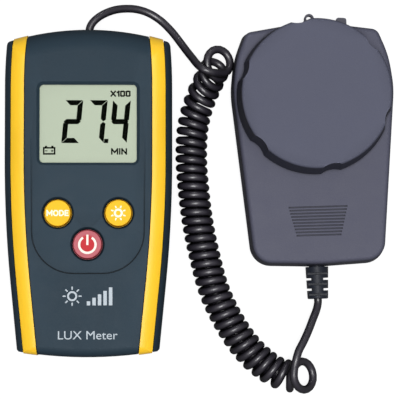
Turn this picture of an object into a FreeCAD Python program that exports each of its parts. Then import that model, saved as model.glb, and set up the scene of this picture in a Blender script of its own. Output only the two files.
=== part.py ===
import FreeCAD, Part
import math
import os

# Handheld light meter with a separate light sensor head on a coiled cord.
# Millimetres, +Z up.  The meter lies on its back, display up, its top end
# towards +Y.  The origin is the centre of the meter's flat back face.
# "Front" is the +Z side of both housings, "rear" the -Z side.

Vector = FreeCAD.Vector
os.makedirs("parts", exist_ok=True)

# ---------------------------------------------------------------- dimensions
# meter case
METER_HALF_W = 33.1
METER_TOP_Y = 64.6            # crown of the top end
METER_BOTTOM_Y = -65.0        # crown of the bottom end
METER_TOP_R = 106.0           # crown radii in plan
METER_BOTTOM_R = 165.0
METER_Z = 31.0                # front face height
METER_WALL = 2.2
SHOULDER_R = 8.0              # radius of the long shoulders
METER_SPLIT_Z = 15.0          # parting line
BAND_OUT = 2.75               # side band, inset of its outer edge from the side outline
BAND_IN = 7.95                # side band, inset of its inner edge
BAND_PROUD = 0.35
BAND_DEPTH = 1.3
PANEL_Y0, PANEL_Y1 = -33.0, 22.0   # the panel slopes down from its upper to its lower end
PANEL_DROP = 0.65
# display
WIN_Y = 26.4
WIN_W, WIN_H, WIN_R = 38.1, 30.7, 1.6
LENS_Z0, LENS_Z1 = 28.8, 29.75
# buttons: name, x, y, radius
BUTTONS = [
    ("mode_button", -11.85, -8.8, 5.3),
    ("backlight_button", 11.85, -8.8, 5.3),
    ("power_button", -0.2, -21.0, 5.7),
]
BUTTON_TOP = 31.7
BUTTON_GAP = 0.25
# main board and screw places (x, y)
PCB_Z0, PCB_Z1 = 20.6, 22.2
CASE_SCREWS = [(-27.2, 50.0), (27.2, 50.0), (-23.0, -58.0), (23.0, -58.0)]
BOARD_SCREWS = [(-17.0, 50.6), (17.0, 50.6), (-21.5, -34.0), (21.5, -34.0)]
# battery and its bay
BAT_W, BAT_L, BAT_T = 26.5, 46.4, 17.5
BAT_Y0, BAT_Z0 = -61.2, 2.7
BAT_Y1 = BAT_Y0 + BAT_L
BAT_MID_Z = BAT_Z0 + BAT_T / 2
BAY_HALF_W = BAT_W / 2 + 0.5
BAY_Y0, BAY_Y1 = -62.8, -7.4
# battery door
DOOR_HALF_W = 14.8
DOOR_Y1 = -8.0
DOOR_T = 1.8
DOOR_GAP = 0.2
# label on the back
LABEL_Y, LABEL_W, LABEL_H, LABEL_R = 26.0, 40.0, 26.0, 2.0
LABEL_GAP = 0.3
LABEL_DEPTH = 0.35
# cord
CORD_R = 1.6
CORD_BORE_R = CORD_R + 0.08
CORD_Z = 15.0
COIL_R = 4.9
COIL_PITCH = 3.5
# sensor head
HEAD_X, HEAD_Y = 89.93, 38.5  # axis of the light aperture
HEAD_YAW = 1.7                # the head lies turned by this angle, degrees
HEAD_SPLIT_Z = 8.0
HEAD_Z = 18.0
HEAD_WALL = 2.0
HEAD_DRAFT_FRONT = 0.9        # inset gained from the parting line to the front face
HEAD_DRAFT_REAR = 0.7
COLLAR_Z = 24.0
BOOT_X = -0.45
CAP_R0, CAP_R1 = 31.1, 29.65
CAP_Z0, CAP_Z1 = 18.5, 32.0
CAP_FLUTES = 6

FAR = 200.0                   # beyond every part


# ---------------------------------------------------------------- helpers
def save(shape, name):
    """Merge split faces and write the solids as one STEP file."""
    shape = shape.removeSplitter()
    if not shape.isValid():
        # guards against small faults left by booleans
        fixed = shape.copy()
        fixed.fix(0.001, 0.001, 0.01)
        if fixed.isValid():
            shape = fixed
    solids = shape.Solids
    piece = solids[0] if len(solids) == 1 else Part.makeCompound(solids)
    piece.exportStep("parts/%s.step" % name)


def fuse_all(shapes):
    return shapes[0].multiFuse(shapes[1:])


def cut_all(shape, tools):
    for tool in tools:
        shape = shape.cut(tool)
    return shape


def box(x0, x1, y0, y1, z0, z1):
    return Part.makeBox(x1 - x0, y1 - y0, z1 - z0, Vector(x0, y0, z0))


def mid_box(half_width, y0, y1, z0, z1):
    """Box centred on x = 0."""
    return box(-half_width, half_width, y0, y1, z0, z1)


def slab(z0, z1):
    return box(-FAR, FAR, -FAR, FAR, z0, z1)


def cylinder(radius, z0, z1, x=0.0, y=0.0):
    return Part.makeCylinder(radius, z1 - z0, Vector(x, y, z0), Vector(0, 0, 1))


def cylinders(radius, z0, z1, places):
    return [cylinder(radius, z0, z1, x, y) for x, y in places]


def cylinder_y(radius, y0, y1, x, z):
    return Part.makeCylinder(radius, y1 - y0, Vector(x, y0, z), Vector(0, 1, 0))


def cone(radius0, radius1, height, x, y, z):
    return Part.makeCone(radius0, radius1, height, Vector(x, y, z), Vector(0, 0, 1))


def unit(vector):
    return vector * (1.0 / vector.Length)


def outline_wire(corners, z):
    """Closed wire from corners (x, y, radius), counter-clockwise and convex."""
    joints = []               # start, middle and end of each corner arc
    for i, (x, y, radius) in enumerate(corners):
        corner = Vector(x, y, z)
        following = corners[(i + 1) % len(corners)]
        back = unit(Vector(*corners[i - 1][:2], z) - corner)
        ahead = unit(Vector(*following[:2], z) - corner)
        if radius <= 1e-6:
            joints.append((corner, None, corner))
            continue
        half_angle = math.acos(max(-1, min(1, back.dot(ahead)))) / 2
        reach = radius / math.tan(half_angle)
        inward = unit(back + ahead)
        centre = corner + inward * (radius / math.sin(half_angle))
        joints.append((corner + back * reach, centre - inward * radius, corner + ahead * reach))
    edges = []
    for i, (start, middle, end) in enumerate(joints):
        if middle is not None:
            edges.append(Part.Arc(start, middle, end).toShape())
        next_start = joints[(i + 1) % len(joints)][0]
        if (next_start - end).Length > 1e-6:
            edges.append(Part.makeLine(end, next_start))
    return Part.Wire(edges)


def inset(corners, distance):
    """Outline moved inwards by distance; radii shrink by the same amount."""
    count = len(corners)
    lines = []                # point and direction of each moved side
    for i in range(count):
        x0, y0, _ = corners[i]
        x1, y1, _ = corners[(i + 1) % count]
        length = math.hypot(x1 - x0, y1 - y0)
        dir_x, dir_y = (x1 - x0) / length, (y1 - y0) / length
        lines.append((x0 - dir_y * distance, y0 + dir_x * distance, dir_x, dir_y))
    moved = []
    for i in range(count):
        x0, y0, dir_x0, dir_y0 = lines[i - 1]
        x1, y1, dir_x1, dir_y1 = lines[i]
        spread = dir_x0 * dir_y1 - dir_y0 * dir_x1
        along = ((x1 - x0) * dir_y1 - (y1 - y0) * dir_x1) / spread
        radius = corners[i][2]
        radius = max(radius - distance, 0.25) if radius > 0 else 0.0
        moved.append((x0 + dir_x0 * along, y0 + dir_y0 * along, radius))
    return moved


def prism(corners, z0, z1):
    return Part.Face(outline_wire(corners, z0)).extrude(Vector(0, 0, z1 - z0))


def inset_ring(corners, outer_inset, inner_inset, z0, z1):
    """Upright wall between two insets of an outline."""
    hollow = prism(inset(corners, inner_inset), z0 - 1, z1 + 1)
    return prism(inset(corners, outer_inset), z0, z1).cut(hollow)


def mirrored(right, bottom=(), top=()):
    """Right half, bottom to top, and corners on the axis, to a full outline."""
    return [*bottom, *right, *top] + [(-x, y, radius) for x, y, radius in reversed(right)]


def rect(x, y, width, height, radius):
    x0, x1 = x - width / 2, x + width / 2
    y0, y1 = y - height / 2, y + height / 2
    return [(x0, y0, radius), (x1, y0, radius), (x1, y1, radius), (x0, y1, radius)]


def level_edges(shape, z, beyond_x=-1.0):
    """Edges lying at height z, further than beyond_x from the plane x = 0."""
    def fits(point):
        return abs(point.z - z) < 1e-6 and abs(point.x) > beyond_x

    return [e for e in shape.Edges if all(fits(v.Point) for v in e.Vertexes)
            and fits(e.valueAt((e.FirstParameter + e.LastParameter) / 2))]


def fillet_rim(shape, radius, z):
    """Round the rims whose lowest point is at height z."""
    return shape.makeFillet(radius, [e for e in shape.Edges if abs(e.BoundBox.ZMin - z) < 1e-6])


def screw(x, y, head_r, head_z0, head_z1, shank_r, shank_z1, slot_l, slot_w, slot_depth):
    """Screw with its cross-slotted head down; slot_l and slot_w are half sizes."""
    body = cylinder(head_r, head_z0, head_z1, x, y)
    body = body.fuse(cylinder(shank_r, head_z1 - 0.1, shank_z1, x, y))
    z0, z1 = head_z0 - 0.7, head_z0 + slot_depth
    body = body.cut(box(x - slot_l, x + slot_l, y - slot_w, y + slot_w, z0, z1))
    return body.cut(box(x - slot_w, x + slot_w, y - slot_l, y + slot_l, z0, z1))


def spline(points):
    curve = Part.BSplineCurve()
    curve.interpolate([Vector(*p) for p in points])
    return curve


def sweep(curve, radius, start, end):
    """Round solid along the curve between two of its parameters."""
    path = Part.Wire([curve.toShape(start, end)])
    circle = Part.makeCircle(radius, curve.value(start), curve.tangent(start)[0])
    solid = path.makePipeShell([Part.Wire([circle])], True, False)
    # the sweep may come back as a bare shell, or inside out
    if solid.ShapeType != "Solid":
        solid = Part.Solid(solid)
    if solid.Volume < 0:
        solid.reverse()
    return solid


# ---------------------------------------------------------------- meter case forms
# right halves of the outlines: x, y, corner radius
SIDE = mirrored([(26.2, -80.0, 0), (METER_HALF_W, -11.2, 500.0),
                 (METER_HALF_W, 50.0, 200.0), (30.5, 80.0, 0)])
# outer limit that rounds the upright corners
PLAN = mirrored([(28.5, -62.9, 4.0), (33.5, -9.5, 300.0), (33.9, 47.5, 200.0), (32.2, 60.15, 4.8)],
                bottom=[(0.0, -67.6, 0)], top=[(0.0, 67.4, 0)])
PANEL = mirrored([(22.1, -32.6, 16.5), (22.7, 56.2, 3.0)])
PANEL = PANEL[-1:] + PANEL[:-1]


def meter_solid(depth):
    """Outer form of the case, moved inwards by depth."""
    z0, z1 = depth, METER_Z - depth

    def lengthwise(edges):
        return [e for e in edges if e.BoundBox.YLength > 0.5]

    sides = prism(inset(SIDE, depth), z0, z1)
    sides = sides.makeFillet(SHOULDER_R - depth, lengthwise(level_edges(sides, z1, 10)))
    sides = sides.makeFillet(max(2.4 - depth, 0.3), lengthwise(level_edges(sides, z0)))

    # ends, crowned in plan
    half_w = 45.0
    top_y, bottom_y = METER_TOP_Y - depth, METER_BOTTOM_Y + depth

    def sag(radius):
        return radius - math.sqrt(radius * radius - half_w * half_w)

    top_side_y = top_y - sag(METER_TOP_R - depth)
    bottom_side_y = bottom_y + sag(METER_BOTTOM_R - depth)
    top_right, top_left = Vector(half_w, top_side_y, z0), Vector(-half_w, top_side_y, z0)
    low_left, low_right = Vector(-half_w, bottom_side_y, z0), Vector(half_w, bottom_side_y, z0)
    wire = Part.Wire([
        Part.Arc(top_right, Vector(0, top_y, z0), top_left).toShape(),
        Part.makeLine(top_left, low_left),
        Part.Arc(low_left, Vector(0, bottom_y, z0), low_right).toShape(),
        Part.makeLine(low_right, top_right)])
    ends = Part.Face(wire).extrude(Vector(0, 0, z1 - z0))
    for radius, z, at_top in (
            (9.0 - depth, z1, True), (3.4 - depth * 0.9, z1, False),
            (max(2.9 - depth, 0.35), z0, True), (max(2.0 - depth, 0.35), z0, False)):
        crowns = [e for e in ends.Edges if e.BoundBox.XLength > 2 * half_w - 1
                  and abs(e.BoundBox.ZMin - z) < 1e-6 and abs(e.BoundBox.ZMax - z) < 1e-6
                  and (e.BoundBox.YMin > 0) == at_top]
        ends = ends.makeFillet(radius, crowns)
    return sides.common(ends).common(prism(inset(PLAN, depth), z0 - 1, z1 + 1))


METER_OUTER = meter_solid(0.0)
METER_INNER = meter_solid(METER_WALL)
METER_SHELL = METER_OUTER.cut(METER_INNER)
LIP_RING = meter_solid(1.15).cut(METER_INNER)
CORD_HOLE = cylinder_y(2.4, 59, 70, 0, CORD_Z)

# side bands, wrapped over both ends
BANDS = meter_solid(-BAND_PROUD).cut(meter_solid(BAND_DEPTH)).common(
    inset_ring(SIDE, BAND_OUT, BAND_IN, METER_SPLIT_Z + 1.7, 45.0))
save(BANDS.common(box(-FAR, 0, -FAR, FAR, 0, FAR)), "left_side_band")
save(BANDS.common(box(0, FAR, -FAR, FAR, 0, FAR)), "right_side_band")


# ---------------------------------------------------------------- meter front case
def panel_cutter(drop):
    """Cutter for the sloping panel, drop deep at the lower end and flush at the upper."""
    slope = drop / (PANEL_Y1 - PANEL_Y0)
    over_top, over_low, x, z = 2, 3, -30, 40
    high = Vector(x, PANEL_Y1 + over_top, METER_Z + over_top * slope)
    low = Vector(x, PANEL_Y0 - over_low, METER_Z - drop - over_low * slope)
    wedge = Part.makePolygon([high, Vector(x, high.y, z), Vector(x, low.y, z), low, high])
    return Part.Face(wedge).extrude(Vector(-2 * x, 0, 0)).common(prism(PANEL, 20, 45))


def cut_display(front):
    """Bevel, opening, and lens seat from inside."""
    bevel = 1.2
    low = outline_wire(rect(0, WIN_Y, WIN_W, WIN_H, WIN_R), LENS_Z1 + 0.15)
    high = outline_wire(rect(0, WIN_Y, WIN_W + 2 * bevel, WIN_H + 2 * bevel, WIN_R + bevel),
                        METER_Z + 0.02)
    front = front.cut(Part.makeLoft([low, high], True, True))
    front = front.cut(display_plate(WIN_W, WIN_H, WIN_R, 25, LENS_Z1 + 0.2))
    return front.cut(display_plate(42.0, 34.3, 2.0, 25, LENS_Z1))


def cut_buttons(front):
    """Button holes with a dished rim."""
    rim, dish = 1.15, 0.8
    for _, x, y, radius in BUTTONS:
        front = front.cut(cylinder(radius + BUTTON_GAP, 20, 40, x, y))
        fall = PANEL_DROP * (PANEL_Y1 - y) / (PANEL_Y1 - PANEL_Y0)
        rim_z = METER_Z - fall + 0.08
        front = front.cut(cone(radius + BUTTON_GAP, radius + rim, dish, x, y, rim_z - dish))
        front = front.cut(cylinder(radius + rim, rim_z - 0.001, rim_z + 4.999, x, y))
    return front


def display_plate(width, height, radius, z0, z1):
    return prism(rect(0, WIN_Y, width, height, radius), z0, z1)


def front_case():
    front = METER_SHELL.common(slab(METER_SPLIT_Z, FAR))
    # groove for the rear case's lip, and shadow line
    front = front.cut(LIP_RING.common(slab(METER_SPLIT_Z - 1, METER_SPLIT_Z + 1.5)))
    skin = METER_OUTER.cut(meter_solid(0.45))
    front = front.cut(skin.common(slab(METER_SPLIT_Z, METER_SPLIT_Z + 0.45)))
    # screw posts and their pilot holes
    posts = cylinders(3.0, METER_SPLIT_Z + 1.0, 30.0, CASE_SCREWS)
    posts += cylinders(2.4, PCB_Z1, 30.0, BOARD_SCREWS)
    front = fuse_all([front] + [post.common(METER_INNER) for post in posts])
    front = cut_all(front, cylinders(1.22, 10, 26.5, CASE_SCREWS))
    front = cut_all(front, cylinders(1.0, 20, 27.2, BOARD_SCREWS))
    # sunken panel, with a fine edge groove that fades out upwards
    front = front.cut(panel_cutter(PANEL_DROP))
    front = front.cut(panel_cutter(PANEL_DROP + 0.45).cut(prism(inset(PANEL, 0.5), 19, 46)))
    front = cut_display(front)
    front = cut_buttons(front)
    # relief beside the side bands, and the bands' own seats
    relief = inset_ring(SIDE, BAND_OUT - 0.3, BAND_IN + 0.3, METER_SPLIT_Z + 1.4, 45.0)
    front = front.cut(METER_OUTER.cut(meter_solid(0.7)).common(relief))
    front = front.cut(BANDS)
    return front.cut(CORD_HOLE)


save(front_case(), "front_case")


# ---------------------------------------------------------------- meter rear case
def battery_bay():
    """Wall round the battery on a wider foot, notched at its upper end."""
    wall = 1.2
    bay = mid_box(BAY_HALF_W + wall, -61.9, BAY_Y1 + wall, METER_WALL - 0.1, 17.5)
    bay = bay.fuse(mid_box(BAY_HALF_W + 4.0, -63.5, BAY_Y1 + 2.4, 1.2, 4.0))
    bay = bay.cut(mid_box(BAY_HALF_W, BAY_Y0, BAY_Y1, 0, 20))
    return bay.cut(mid_box(7.0, -9, -5, 9.0, 20))


def rear_case():
    rear = METER_SHELL.common(slab(-FAR, METER_SPLIT_Z))
    rear = rear.fuse(LIP_RING.common(slab(METER_SPLIT_Z, METER_SPLIT_Z + 1.4)))
    rear = rear.cut(CORD_HOLE)
    bosses = cylinders(3.0, 1.0, METER_SPLIT_Z + 1.0, CASE_SCREWS)
    rear = fuse_all([rear] + [boss.common(METER_OUTER) for boss in bosses])
    rear = cut_all(rear, cylinders(1.5, -1, 20, CASE_SCREWS))
    rear = cut_all(rear, cylinders(2.6, -1, 3.0, CASE_SCREWS))
    rear = rear.fuse(battery_bay().common(meter_solid(1.0)))
    # door opening runs out through the bottom end; side grooves take the door's tongues
    seat_z = DOOR_T + 0.15
    rear = rear.cut(mid_box(DOOR_HALF_W + DOOR_GAP, -80, DOOR_Y1 + DOOR_GAP, -1, seat_z))
    rear = rear.cut(mid_box(BAY_HALF_W, BAY_Y0, DOOR_Y1 - 1.0, 0, 4))
    rear = rear.cut(mid_box(DOOR_HALF_W + 1.25, -80, DOOR_Y1 - 3.0, 0.85, seat_z))
    return rear.cut(prism(rect(0, LABEL_Y, LABEL_W, LABEL_H, LABEL_R), -1, LABEL_DEPTH))


save(rear_case(), "rear_case")
save(prism(rect(0, LABEL_Y, LABEL_W - 2 * LABEL_GAP, LABEL_H - 2 * LABEL_GAP,
                LABEL_R - LABEL_GAP), 0.1, LABEL_DEPTH), "rear_label")


def battery_door():
    """Cut from the outer form, with two tongues and a tapering grooved thumb pad."""
    door = METER_OUTER.common(mid_box(DOOR_HALF_W, -80, DOOR_Y1, -1, DOOR_T))
    tongues = []
    for side in (-1, 1):
        x = side * (DOOR_HALF_W + 0.5)
        tongue = box(x - 0.55, x + 0.55, -80.0, DOOR_Y1 - 4.0, 1.0, DOOR_T)
        tongues.append(METER_OUTER.common(tongue))
    door = fuse_all([door] + tongues)
    for i in range(7):
        y = -20.0 - i * 1.7
        door = door.cut(mid_box(7.0 - i * 0.35, y - 0.45, y + 0.45, -1, 0.45))
    return door


save(battery_door(), "battery_door")

# ---------------------------------------------------------------- display stack
LCD_STEP_Z = 27.5
save(display_plate(41.7, 34.0, 1.9, LENS_Z0, LENS_Z1), "display_window")
save(display_plate(45.0, 36.0, 0.4, LCD_STEP_Z, 28.6).fuse(
    display_plate(45.0, 31.6, 0.4, 26.4, LCD_STEP_Z)), "lcd_panel")
save(display_plate(44.0, 27.4, 1.0, 22.3, 26.35), "backlight_panel")
save(Part.makeCompound([mid_box(21.5, y - 1.0, y + 1.0, PCB_Z1, LCD_STEP_Z)
                        for y in (WIN_Y - 16.9, WIN_Y + 16.9)]), "zebra_strips")
save(display_plate(48.6, 39.6, 1.5, PCB_Z1, 28.65).cut(
    display_plate(45.2, 36.2, 0.5, 20, 30)), "display_frame")


# ---------------------------------------------------------------- main board
def main_board():
    board = prism([(-25.6, -46.0, 2.0), (25.6, -46.0, 2.0), (26.4, 54.5, 2.0), (-26.4, 54.5, 2.0)],
                  PCB_Z0, PCB_Z1)
    board = cut_all(board, cylinders(3.4, 15, 30, CASE_SCREWS))
    return cut_all(board, cylinders(1.2, 15, 30, BOARD_SCREWS))


def chip_leads():
    """Nine leads on each side, each a flat foot with a riser against the chip."""
    foot_z = PCB_Z0 - 0.35
    leads = []
    for i in range(9):
        y0, y1 = 22.8 + i, 23.2 + i
        for foot_x, riser_x in (((-9.6, -7.9), (-8.3, -8.02)), ((1.9, 3.6), (2.02, 2.3))):
            riser = box(*riser_x, y0, y1, 19.4, PCB_Z0 - 0.3)
            leads.append(box(*foot_x, y0, y1, foot_z, PCB_Z0).fuse(riser))
    return Part.makeCompound(leads)


def trimmer(x, y):
    """Square body with a slotted round recess in its underside."""
    body = box(x - 3.3, x + 3.3, y - 3.3, y + 3.3, 15.8, PCB_Z0)
    body = body.cut(cylinder(1.6, 15, 16.4, x, y))
    return body.cut(box(x - 1.3, x + 1.3, y - 0.3, y + 0.3, 15, 16.9))


save(main_board(), "main_board")
save(Part.makeCompound([
    screw(x, y, head_r=2.0, head_z0=PCB_Z0 - 1.3, head_z1=PCB_Z0, shank_r=0.98, shank_z1=26.8,
          slot_l=1.3, slot_w=0.25, slot_depth=0.5) for x, y in BOARD_SCREWS]), "board_screws")
save(Part.makeCompound([
    screw(x, y, head_r=2.4, head_z0=1.1, head_z1=3.0, shank_r=1.2, shank_z1=24.0,
          slot_l=1.6, slot_w=0.32, slot_depth=0.9) for x, y in CASE_SCREWS]), "case_screws")
save(box(-8.0, 2.0, 22.0, 32.0, 18.4, PCB_Z0 - 0.35), "controller_chip")
save(chip_leads(), "chip_leads")
# radius, lower end, y
save(Part.makeCompound([cylinder(radius, z, PCB_Z0, 14, y) for radius, z, y in
                        ((2.5, 13.6, 34), (2.5, 13.6, 26), (2.0, 15.4, 18))]), "capacitors")
save(prism(rect(-17, 34, 11.0, 4.6, 2.29), 17.1, PCB_Z0), "crystal")
save(Part.makeCompound([trimmer(-18, 22), trimmer(-18, 12)]), "calibration_trimmers")


# ---------------------------------------------------------------- keys
def keypad_mat():
    mat = prism([(-22.0, -30.5, 4.0), (22.0, -30.5, 4.0), (22.0, 3.8, 2.0), (-22.0, 3.8, 2.0)],
                PCB_Z1, PCB_Z1 + 0.9)
    mat = cut_all(mat, cylinders(4.4, 20, 30, [(x, y) for _, x, y, _ in BUTTONS]))
    return cut_all(mat, cylinders(3.0, 20, 30, BOARD_SCREWS))


def button(x, y, radius):
    """Rounded cap with a retaining flange and a stem."""
    cap = fillet_rim(cylinder(radius, 27.0, BUTTON_TOP, x, y), 0.6, BUTTON_TOP)
    flange = cylinder(radius + 1.2, 27.5, 28.5, x, y)
    return fuse_all([cap, flange, cylinder(2.6, 23.75, 28.0, x, y)])


save(keypad_mat(), "keypad_mat")
save(Part.makeCompound([cone(4.0, 2.6, 0.5, x, y, PCB_Z1) for _, x, y, _ in BUTTONS]),
     "snap_domes")
for name, x, y, radius in BUTTONS:
    save(button(x, y, radius), name)

# ---------------------------------------------------------------- battery
TERMINAL_X = 6.35
SNAP_T = 3.2
SNAP_Y1 = BAT_Y1 + 0.2 + SNAP_T


def round_along_y(block, radius, length):
    """Round the edges that run along Y over the given length."""
    return block.makeFillet(
        radius, [e for e in block.Edges if abs(e.BoundBox.YLength - length) < 1e-6])


def battery_terminals():
    """Solid stud and open socket on the battery's upper end."""
    stud = cylinder_y(2.8, BAT_Y1, BAT_Y1 + 2.1, -TERMINAL_X, BAT_MID_Z)
    socket = cylinder_y(4.1, BAT_Y1, BAT_Y1 + 2.1, TERMINAL_X, BAT_MID_Z)
    socket = socket.cut(cylinder_y(3.0, BAT_Y1 + 0.8, BAT_Y1 + 3, TERMINAL_X, BAT_MID_Z))
    return Part.makeCompound([stud, socket])


def battery_snap():
    """Connector plate with pockets for both terminals."""
    snap = mid_box(12.6, BAT_Y1 + 0.2, SNAP_Y1, BAT_MID_Z - 5.6, BAT_MID_Z + 5.6)
    snap = round_along_y(snap, 2.0, SNAP_T)
    snap = snap.cut(cylinder_y(2.85, BAT_Y1, BAT_Y1 + 2.2, -TERMINAL_X, BAT_MID_Z))
    return snap.cut(cylinder_y(4.15, BAT_Y1, BAT_Y1 + 2.2, TERMINAL_X, BAT_MID_Z))


def battery_lead(side):
    """Wire from the snap up to the underside of the main board."""
    # distance from x = 0, distance beyond the snap, height
    route = [
        (4.0, 0.02, BAT_MID_Z), (4.0, 0.6, BAT_MID_Z), (4.0, 1.4, BAT_MID_Z + 0.03),
        (4.2, 4.2, BAT_MID_Z + 1.9), (4.6, 5.5, BAT_MID_Z + 5.0),
        (4.8, 5.6, PCB_Z0 - 1.4), (4.8, 5.6, PCB_Z0 - 0.6), (4.8, 5.6, PCB_Z0 - 0.03),
    ]
    curve = spline([(side * x, SNAP_Y1 + y, z) for x, y, z in route])
    return sweep(curve, 0.6, curve.FirstParameter, curve.LastParameter)


save(round_along_y(mid_box(BAT_W / 2, BAT_Y0, BAT_Y1, BAT_Z0, BAT_Z0 + BAT_T), 2.4, BAT_L),
     "battery")
save(battery_terminals(), "battery_terminals")
save(battery_snap(), "battery_snap")
save(Part.makeCompound([battery_lead(-1), battery_lead(1)]), "battery_leads")


# ---------------------------------------------------------------- cord outlet
def cord_grommet():
    """Flanged sleeve in the meter's top end, flared outwards."""
    sleeve = fuse_all([cylinder_y(2.38, 60.2, 65.4, 0, CORD_Z),
                       cylinder_y(3.4, 60.1, 62.1, 0, CORD_Z)])
    sleeve = sleeve.makeFillet(0.2, [e for e in sleeve.Edges if e.BoundBox.YMin > 65.3])
    sleeve = sleeve.cut(cylinder_y(CORD_BORE_R, 50, 80, 0, CORD_Z))
    return sleeve.cut(Part.makeCone(CORD_R + 0.07, CORD_R + 0.55, 1.6,
                                    Vector(0, 63.9, CORD_Z), Vector(0, 1, 0)))


save(cord_grommet(), "cord_grommet")
save(mid_box(5.0, 46.0, 53.0, 12.6, PCB_Z0), "cord_connector")

# ---------------------------------------------------------------- sensor head
# The head is built about the aperture axis, cord end towards -Y, and then placed.
HEAD_OUTLINE = mirrored(
    [(26.6, -66.5, 8.5), (33.1, 3.0, 40.0), (31.5, 16.0, 40.0), (27.0, 27.4, 4.5)],
    bottom=[(0.0, -67.7, 90.0)], top=[(0.0, 31.4, 60.0)])
HEAD_SCREWS = [(-22.0, 20.0), (22.0, 20.0), (-20.6, -56.0), (20.6, -56.0)]


def save_placed(shape, name):
    shape = shape.copy()
    shape.rotate(Vector(0, 0, 0), Vector(0, 0, 1), HEAD_YAW)
    shape.translate(Vector(HEAD_X, HEAD_Y, 0))
    save(shape, name)


def head_loft(inset0, z0, inset1, z1):
    return Part.makeLoft([outline_wire(inset(HEAD_OUTLINE, inset0), z0),
                          outline_wire(inset(HEAD_OUTLINE, inset1), z1)], True, True)


def rounded_face(shape, radius, z):
    """Round the edge of the end face at height z."""
    try:
        return shape.makeFillet(radius, level_edges(shape, z))
    except Exception:
        # the fillet can fail on the lofted sides; the edge then stays sharp
        return shape


HEAD_FRONT = rounded_face(
    head_loft(0.0, HEAD_SPLIT_Z, HEAD_DRAFT_FRONT, HEAD_Z), 1.8, HEAD_Z)
HEAD_REAR = rounded_face(head_loft(HEAD_DRAFT_REAR, 0.0, 0.0, HEAD_SPLIT_Z), 1.5, 0.0)
HEAD_FRONT_HOLLOW = head_loft(
    HEAD_WALL, HEAD_SPLIT_Z, HEAD_WALL + HEAD_DRAFT_FRONT, HEAD_Z - HEAD_WALL)
HEAD_REAR_HOLLOW = head_loft(
    HEAD_WALL + HEAD_DRAFT_REAR, HEAD_WALL, HEAD_WALL, HEAD_SPLIT_Z)
HEAD_ENTRY = cylinder_y(3.3, -75, -60, BOOT_X, HEAD_SPLIT_Z)


def sensor_front_case():
    case = HEAD_FRONT.cut(HEAD_FRONT_HOLLOW)
    # groove for the rear case's lip, and shadow line
    case = case.cut(inset_ring(HEAD_OUTLINE, 0.95, HEAD_WALL + 0.5,
                               HEAD_SPLIT_Z - 1, HEAD_SPLIT_Z + 1.25))
    case = case.cut(inset_ring(HEAD_OUTLINE, -2.0, 0.35, HEAD_SPLIT_Z - 0.5, HEAD_SPLIT_Z + 0.4))
    # collar round the aperture, with an inner ring
    case = case.fuse(fillet_rim(cylinder(25.5, HEAD_Z - HEAD_WALL, COLLAR_Z), 0.5, COLLAR_Z))
    case = case.cut(cylinder(22.5, 15, 22.0)).cut(cylinder(15.0, 20, 25))
    case = case.fuse(cylinder(17.2, 19.0, 22.2).cut(cylinder(15.25, 18, 23)))
    case = fuse_all([case] + cylinders(3.0, HEAD_SPLIT_Z + 1.0, HEAD_Z - 1.0, HEAD_SCREWS))
    case = cut_all(case, cylinders(1.02, 5, HEAD_Z - 1.6, HEAD_SCREWS))
    # finger grip: a tapering field of grooves
    for i in range(10):
        y = -44.1 - i * 1.25
        half_w = 11.75 - 2.8 * i / 9.0
        case = case.cut(mid_box(half_w, y - 0.31, y + 0.31, HEAD_Z - 0.5, HEAD_Z + 1))
    return case.cut(HEAD_ENTRY)


def sensor_rear_case():
    case = HEAD_REAR.cut(HEAD_REAR_HOLLOW)
    case = case.fuse(inset_ring(HEAD_OUTLINE, 1.0, HEAD_WALL, HEAD_SPLIT_Z, HEAD_SPLIT_Z + 1.2))
    case = fuse_all([case] + cylinders(3.0, 1.0, HEAD_SPLIT_Z + 1.0, HEAD_SCREWS))
    case = cut_all(case, cylinders(1.3, -1, 20, HEAD_SCREWS))
    case = cut_all(case, cylinders(2.3, -1, 2.6, HEAD_SCREWS))
    case = case.cut(HEAD_ENTRY)
    # rests for the sensor board
    return case.fuse(cylinders(2.2, 1.5, 9.95, [(14, 10), (-14, 10), (14, -38), (-14, -38)]))


def strain_relief_boot():
    """Collar inside the wall, slotted tapering sleeve outside."""
    end_y = -80.6
    boot = fuse_all([cylinder_y(3.2, -68.2, -63.0, BOOT_X, HEAD_SPLIT_Z),
                     cylinder_y(4.4, -64.6, -62.6, BOOT_X, HEAD_SPLIT_Z)])
    sleeve = Part.makeCone(4.15, 4.6, -67.75 - end_y,
                           Vector(BOOT_X, end_y, HEAD_SPLIT_Z), Vector(0, 1, 0))
    sleeve = sleeve.makeFillet(0.5, [e for e in sleeve.Edges if e.BoundBox.YMax < end_y + 0.1])
    boot = boot.fuse(sleeve)
    # relief slots, alternately front and back, and at the two sides
    slot_y, slot_pitch, half_w = -70.55, 2.1, 0.45
    cuts = ((-6, -2.1), (2.1, 6))
    for i in (0, 2, 4):
        y = slot_y - i * slot_pitch
        for near, far in cuts:
            boot = boot.cut(box(BOOT_X - 6, BOOT_X + 6, y - half_w, y + half_w,
                                HEAD_SPLIT_Z + near, HEAD_SPLIT_Z + far))
    for i in (1, 3):
        y = slot_y - i * slot_pitch
        for near, far in cuts:
            boot = boot.cut(box(BOOT_X + near, BOOT_X + far, y - half_w, y + half_w,
                                HEAD_SPLIT_Z - 6, HEAD_SPLIT_Z + 6))
    return boot.cut(cylinder_y(CORD_BORE_R, -90, -50, BOOT_X, HEAD_SPLIT_Z))


save_placed(sensor_front_case(), "sensor_front_case")
save_placed(sensor_rear_case(), "sensor_rear_case")
save_placed(strain_relief_boot(), "strain_relief_boot")
save_placed(Part.makeCompound([
    screw(x, y, head_r=2.1, head_z0=0.9, head_z1=2.6, shank_r=1.0, shank_z1=15.8,
          slot_l=1.4, slot_w=0.28, slot_depth=0.8) for x, y in HEAD_SCREWS]), "sensor_screws")

# ---------------------------------------------------------------- sensor optics
DOME_R = 19.0


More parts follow.
